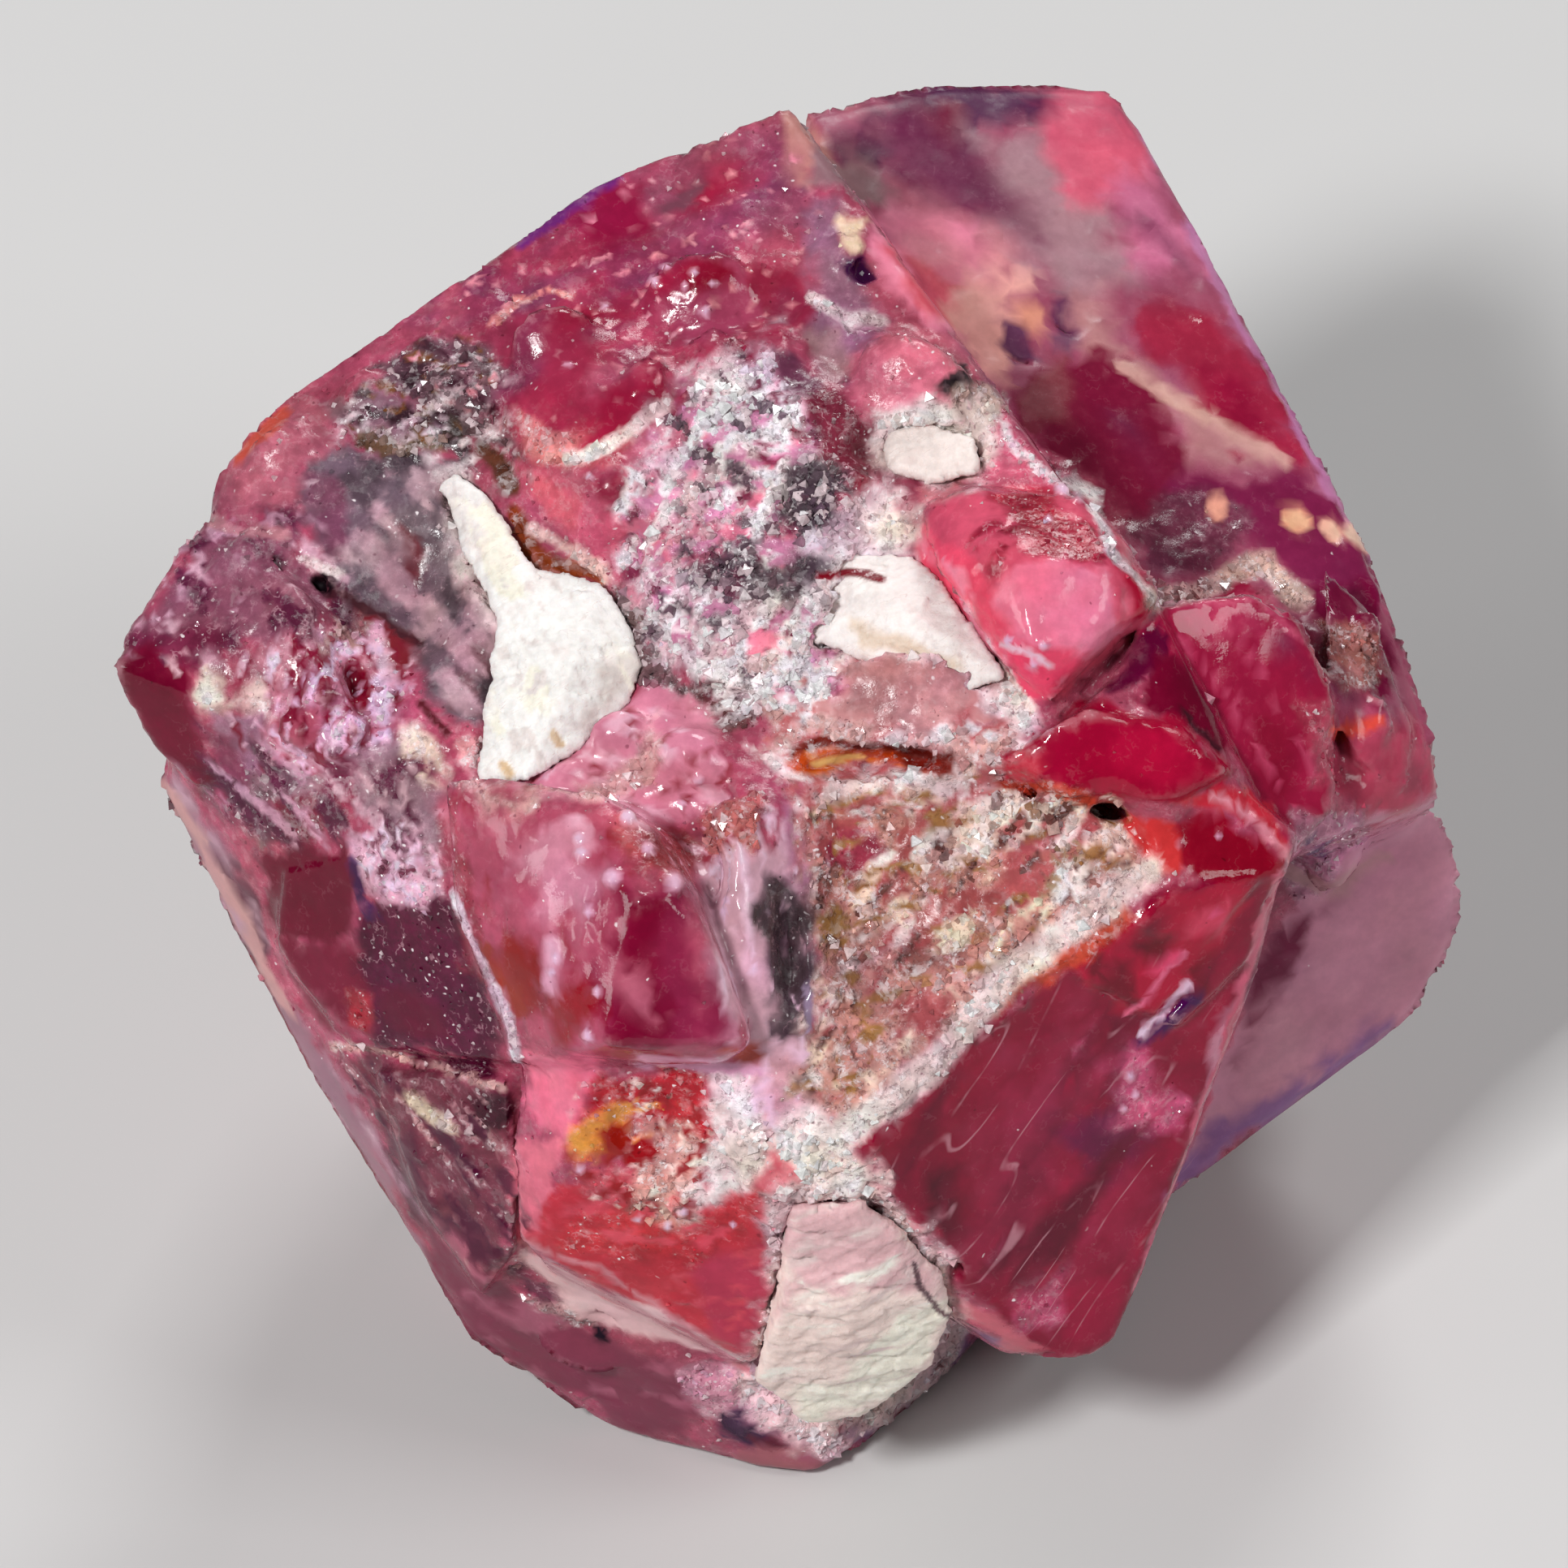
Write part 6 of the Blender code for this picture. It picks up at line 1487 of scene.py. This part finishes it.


def spinel_material():
    """Glassy spinel whose colour, gloss, clearness, sparkle and frost come from the paint."""
    n = Nodes("spinel mineral")
    tint = n.layer("tint")
    rough, clear, sparkle = n.split(n.layer("finish"))
    striped, frost, edge = n.split(n.layer("marks"))
    cloud = n.noise(0.9, 3.0, 0.6)
    mottle = n.noise(0.16, 3.0, 0.6)
    body = clouded(n, tint, sparkle, cloud, mottle)
    body = n.mix(striae(n, striped), body, STRIA)
    veil = healed_cracks(n, sparkle, mottle)
    body = n.mix(veil, body, VEIL)
    # Convex edges turn paler: wear, and a painted highlight.
    worn_and_highlit = n.product(n.ramp(edge, 0.60, 0.85, 0.0, 0.40), n.ramp(mottle, 0.40, 0.58, 0.1, 1.0))
    body = n.mix(worn_and_highlit, body, WORN_AND_HIGHLIT_EDGE)
    # Creases turn darker: painted shade.
    crease_shade = n.ramp(edge, 0.22, 0.45, 0.55, 0.0)
    body = n.mix(crease_shade, body, n.mix(1.0, tint, CREASE_SHADE, 'MULTIPLY'))
    clump, ridge, gap = frost_parts(n, cloud)
    # The gaps between the clumps turn darker: painted shade.
    body = n.mix(n.product(gap, frost, 0.70), body, n.mix(1.0, tint, FROST_GAP_SHADE, 'MULTIPLY'))
    body = n.mix(n.product(ridge, frost, 0.85), body, FROST)
    small = n.grains(0.05, place=n.stirred(0.12, 0.05))
    bright, dark = flecks(n, small, sparkle, cloud)
    body = n.mix(n.sum('MULTIPLY', dark, 0.6), body, n.mix(1.0, tint, DARK_FLECK, 'MULTIPLY'))
    # Painted glints on single small grains.
    body = n.mix(n.sum('MULTIPLY', bright, 0.85), body, GLINT_FLECK)
    n.join(body, n.surface.inputs["Base Color"])
    roughness = n.sum('ADD', rough, n.ramp(mottle, 0.35, 0.7, -0.04, 0.10))
    roughness = n.sum('ADD', roughness, n.sum('MULTIPLY', worn_and_highlit, 0.2), clamp=True)
    n.join(roughness, n.surface.inputs["Roughness"])
    pale = n.sum('MAXIMUM', n.sum('MAXIMUM', bright, veil), n.sum('MAXIMUM', worn_and_highlit, n.product(ridge, frost)))
    n.join(n.product(clear, n.sum('SUBTRACT', 1.0, pale)), n.surface.inputs["Transmission Weight"])
    n.surface.inputs["IOR"].default_value = SPINEL_IOR
    n.surface.inputs["Specular IOR Level"].default_value = SPINEL_SPECULAR
    n.join(surface_relief(n, small, sparkle, frost, clump, gap), n.surface.inputs["Normal"])
    absorb(n)
    return n.material


def clouded(n, tint, sparkle, cloud, mottle):
    """The tint in drifts of lighter and darker stone, stronger where the stone sparkles."""
    rich = n.ramp(sparkle, 0.02, 0.5, 0.25, 1.0)
    shade = n.product(n.ramp(cloud, 0.3, 0.7, 0.80, 1.18), n.ramp(mottle, 0.3, 0.7, 0.80, 1.20))
    shade = n.sum('ADD', 1.0, n.product(rich, n.sum('SUBTRACT', shade, 1.0)))
    return n.mix(1.0, tint, shade, 'MULTIPLY')


def striae(n, striped):
    """Fine pale lines down the crimson face."""
    along = n.placed(n.place, turn=(0.0, 0.0, math.radians(STRIAE_TURN)))
    stretched = n.vector('MULTIPLY', along, (1.0, 0.018, 1.0))
    return n.product(striped, n.crossing(n.noise(0.42, 0.0, 0.4, stretched), 0.022, 0.60),
                     n.ramp(n.noise(0.7, 3.0, 0.5), 0.46, 0.62))


def healed_cracks(n, sparkle, mottle):
    """A few thin pale veils where a noise crosses its middle."""
    return n.product(n.crossing(n.noise(0.55, 4.0, 0.62), 0.018, 0.45), n.ramp(mottle, 0.45, 0.62),
                     n.ramp(sparkle, 0.1, 0.8, 0.10, 1.0))


def frost_parts(n, cloud):
    """Clumps of tiny crystals, how pale each crystal is, and the gaps between the clumps."""
    tiny = n.grains(0.075, place=n.stirred(0.2, 0.06))
    lightness, _green, _blue = n.split(tiny["Color"])
    clump = n.ramp(n.noise(0.22, 5.0, 0.72, n.stirred(0.3, 0.10)), 0.49, 0.60)
    ridge = n.product(clump, n.ramp(lightness, 0.1, 0.9, 0.30, 1.0), n.ramp(cloud, 0.40, 0.58, 0.30, 1.0))
    gap = n.ramp(n.noise(0.12, 4.0, 0.6), 0.44, 0.32)
    return clump, ridge, gap


def flecks(n, small, sparkle, cloud):
    """Where the small grains carry a painted glint and where they are dark."""
    pick, dark_pick, _blue = n.split(small["Color"])
    core = n.ramp(small["Distance"], 0.2, 0.5, 1.0, 0.0)
    above = n.sum('SUBTRACT', 1.0, n.sum('MULTIPLY', n.sum('MULTIPLY', sparkle, sparkle), FLECKS))
    bright = n.product(n.sum('GREATER_THAN', pick, above), core)
    bright = n.product(bright, n.ramp(cloud, 0.38, 0.6, 0.25, 1.0))
    dark = n.product(n.sum('GREATER_THAN', dark_pick, above), core)
    return bright, dark


def surface_relief(n, small, sparkle, frost, clump, gap):
    """Coarse waves, the frost's clumps, a fine grain and the tilt of single grains."""
    coarse = n.bump(n.noise(0.3, 2.0, 0.5), 0.02, n.ramp(sparkle, 0.0, 0.3, 0.12, 0.40))
    rugged = n.bump(n.sum('SUBTRACT', n.product(clump, 0.5), gap), 0.03, n.product(frost, 0.8), coarse)
    fine = n.bump(n.noise(0.035, 1.0, 0.5), 0.004, n.ramp(sparkle, 0.0, 0.3, 0.15, 0.5), rugged)
    plenty = n.sum('MULTIPLY', sparkle, sparkle)
    return n.facets(small["Color"], n.sum('MULTIPLY', plenty, 0.35), fine)


def absorb(n):
    absorption = n.tree.nodes.new("ShaderNodeVolumeAbsorption")
    absorption.inputs["Color"].default_value = ABSORPTION
    absorption.inputs["Density"].default_value = ABSORPTION_DENSITY
    n.join(absorption.outputs["Volume"], n.output.inputs["Volume"])


def druse_material():
    """The small crystals: clear facets in the colour of what they sit on."""
    n = Nodes("spinel druse")
    _rough, clear, _sparkle = n.split(n.layer("finish"))
    tone = n.ramp(n.noise(0.08, 3.0, 0.6), 0.35, 0.65, 0.8, 1.2)
    n.join(n.mix(1.0, n.layer("tint"), tone, 'MULTIPLY'), n.surface.inputs["Base Color"])
    n.join(n.ramp(n.noise(0.2, 3.0, 0.5), 0.35, 0.65, 0.06, 0.28), n.surface.inputs["Roughness"])
    n.join(n.sum('ADD', 0.1, clear), n.surface.inputs["Transmission Weight"])
    n.surface.inputs["IOR"].default_value = SPINEL_IOR
    n.join(n.bump(n.noise(0.04, 3.0, 0.5), 0.004, 0.4), n.surface.inputs["Normal"])
    return n.material


def calcite_material():
    """Chalky white calcite with fine dark cleavage cracks, and painted shade in its creases."""
    name = "white calcite"
    if name in bpy.data.materials:
        return bpy.data.materials[name]
    n = Nodes(name)
    rough, _clear, _sparkle = n.split(n.layer("finish"))
    _striped, _veiled, edge = n.split(n.layer("marks"))
    cloud = n.noise(0.6, 5.0, 0.6)
    mottle = n.noise(0.10, 5.0, 0.6)
    tone = n.product(n.ramp(cloud, 0.3, 0.7, 0.92, 1.06), n.ramp(mottle, 0.3, 0.7, 0.92, 1.06))
    body = n.mix(1.0, n.layer("tint"), tone, 'MULTIPLY')
    body = n.mix(n.ramp(n.noise(0.45, 5.0, 0.6), 0.54, 0.70, 0.0, 0.22), body, (0.84, 0.62, 0.60, 1.0))
    stretched = n.vector('MULTIPLY', n.placed(n.place, turn=(0.0, 0.0, math.radians(-35.0))), (0.25, 1.6, 1.0))
    crack = n.product(n.crossing(n.noise(0.45, 4.0, 0.55, stretched), 0.008, 0.35), n.ramp(mottle, 0.45, 0.6))
    # Creases darker too: painted shade, on top of the real cleavage cracks.
    crack = n.sum('MAXIMUM', crack, n.ramp(edge, 0.25, 0.45, 0.30, 0.0))
    body = n.mix(crack, body, (0.50, 0.34, 0.30, 1.0))
    n.join(body, n.surface.inputs["Base Color"])
    n.join(n.sum('ADD', rough, n.ramp(mottle, 0.35, 0.7, -0.2, 0.1), clamp=True), n.surface.inputs["Roughness"])
    n.surface.inputs["IOR"].default_value = CALCITE_IOR
    n.surface.inputs["Subsurface Radius"].default_value = (1.0, 0.8, 0.7)
    n.surface.inputs["Subsurface Scale"].default_value = 0.15 * MM
    n.surface.inputs["Subsurface Weight"].default_value = 0.3
    n.join(n.bump(mottle, 0.03, 0.6), n.surface.inputs["Normal"])
    return n.material


def floor_material():
    n = Nodes("pale floor")
    tone = n.ramp(n.noise(40.0, 3.0, 0.5), 0.3, 0.7)
    n.join(n.mix(tone, (0.60, 0.595, 0.59, 1.0), (0.66, 0.655, 0.65, 1.0)), n.surface.inputs["Base Color"])
    n.surface.inputs["Roughness"].default_value = 0.8
    return n.material


# ---------------------------------------------------------------- stage

LIGHT_BOUNCES = 5            # of all kinds
DIFFUSE_BOUNCES = 2


def limit_light_paths():
    """The stone absorbs most light within a few bounces, so that more of them only take time."""
    paths = bpy.context.scene.cycles
    paths.max_bounces = LIGHT_BOUNCES
    paths.diffuse_bounces = DIFFUSE_BOUNCES


def make_floor():
    shape = bmesh.new()
    bmesh.ops.create_circle(shape, cap_ends=True, segments=96, radius=1.5)
    mesh = bpy.data.meshes.new("floor")
    shape.to_mesh(mesh)
    shape.free()
    floor = new_object("floor", mesh)
    floor.data.materials.append(floor_material())


def softbox(name, around, above, distance, size, power):
    """A square lamp that looks at the stone from `around` and `above`, in degrees."""
    lamp = bpy.data.lights.new(name, 'AREA')
    lamp.shape = 'SQUARE'
    lamp.size = size
    lamp.energy = power
    thing = bpy.data.objects.new(name, lamp)
    bpy.context.scene.collection.objects.link(thing)
    around, above = math.radians(around), math.radians(above)
    away = Vector((math.sin(around) * math.cos(above), -math.cos(around) * math.cos(above), math.sin(above)))
    thing.location = distance * away + Vector((0.0, 0.0, 0.006))
    thing.rotation_euler = away.to_track_quat('Z', 'Y').to_euler()
    thing.visible_camera = False


def make_lights():
    for lamp in LAMPS:
        softbox(*lamp)
    world = bpy.data.worlds.new("studio")
    world.use_nodes = True
    world.node_tree.nodes["Background"].inputs["Color"].default_value = (0.95, 0.96, 1.0, 1.0)
    world.node_tree.nodes["Background"].inputs["Strength"].default_value = WORLD_LIGHT
    bpy.context.scene.world = world


def make_camera():
    """The camera looks square on to the broad side, from far off."""
    lens = bpy.data.cameras.new("camera")
    lens.sensor_width = 36.0
    lens.lens = lens.sensor_width * CAMERA_DISTANCE / (VIEW_WIDTH * MM)
    lens.clip_start, lens.clip_end = 0.01, 10.0
    camera = bpy.data.objects.new("camera", lens)
    bpy.context.scene.collection.objects.link(camera)
    aim = side_to_world() @ Vector(VIEW_MIDDLE)
    away = Vector((0.0, -math.cos(LEAN), math.sin(LEAN)))
    camera.location = aim + CAMERA_DISTANCE * away
    camera.rotation_euler = away.to_track_quat('Z', 'Y').to_euler()
    bpy.context.scene.camera = camera


bpy.context.scene.view_settings.view_transform = 'Standard'
limit_light_paths()
make_floor()
make_lights()
make_camera()
dress_spinel()
for calcite_name in CALCITE_BASE:
    dress_calcite(calcite_name)
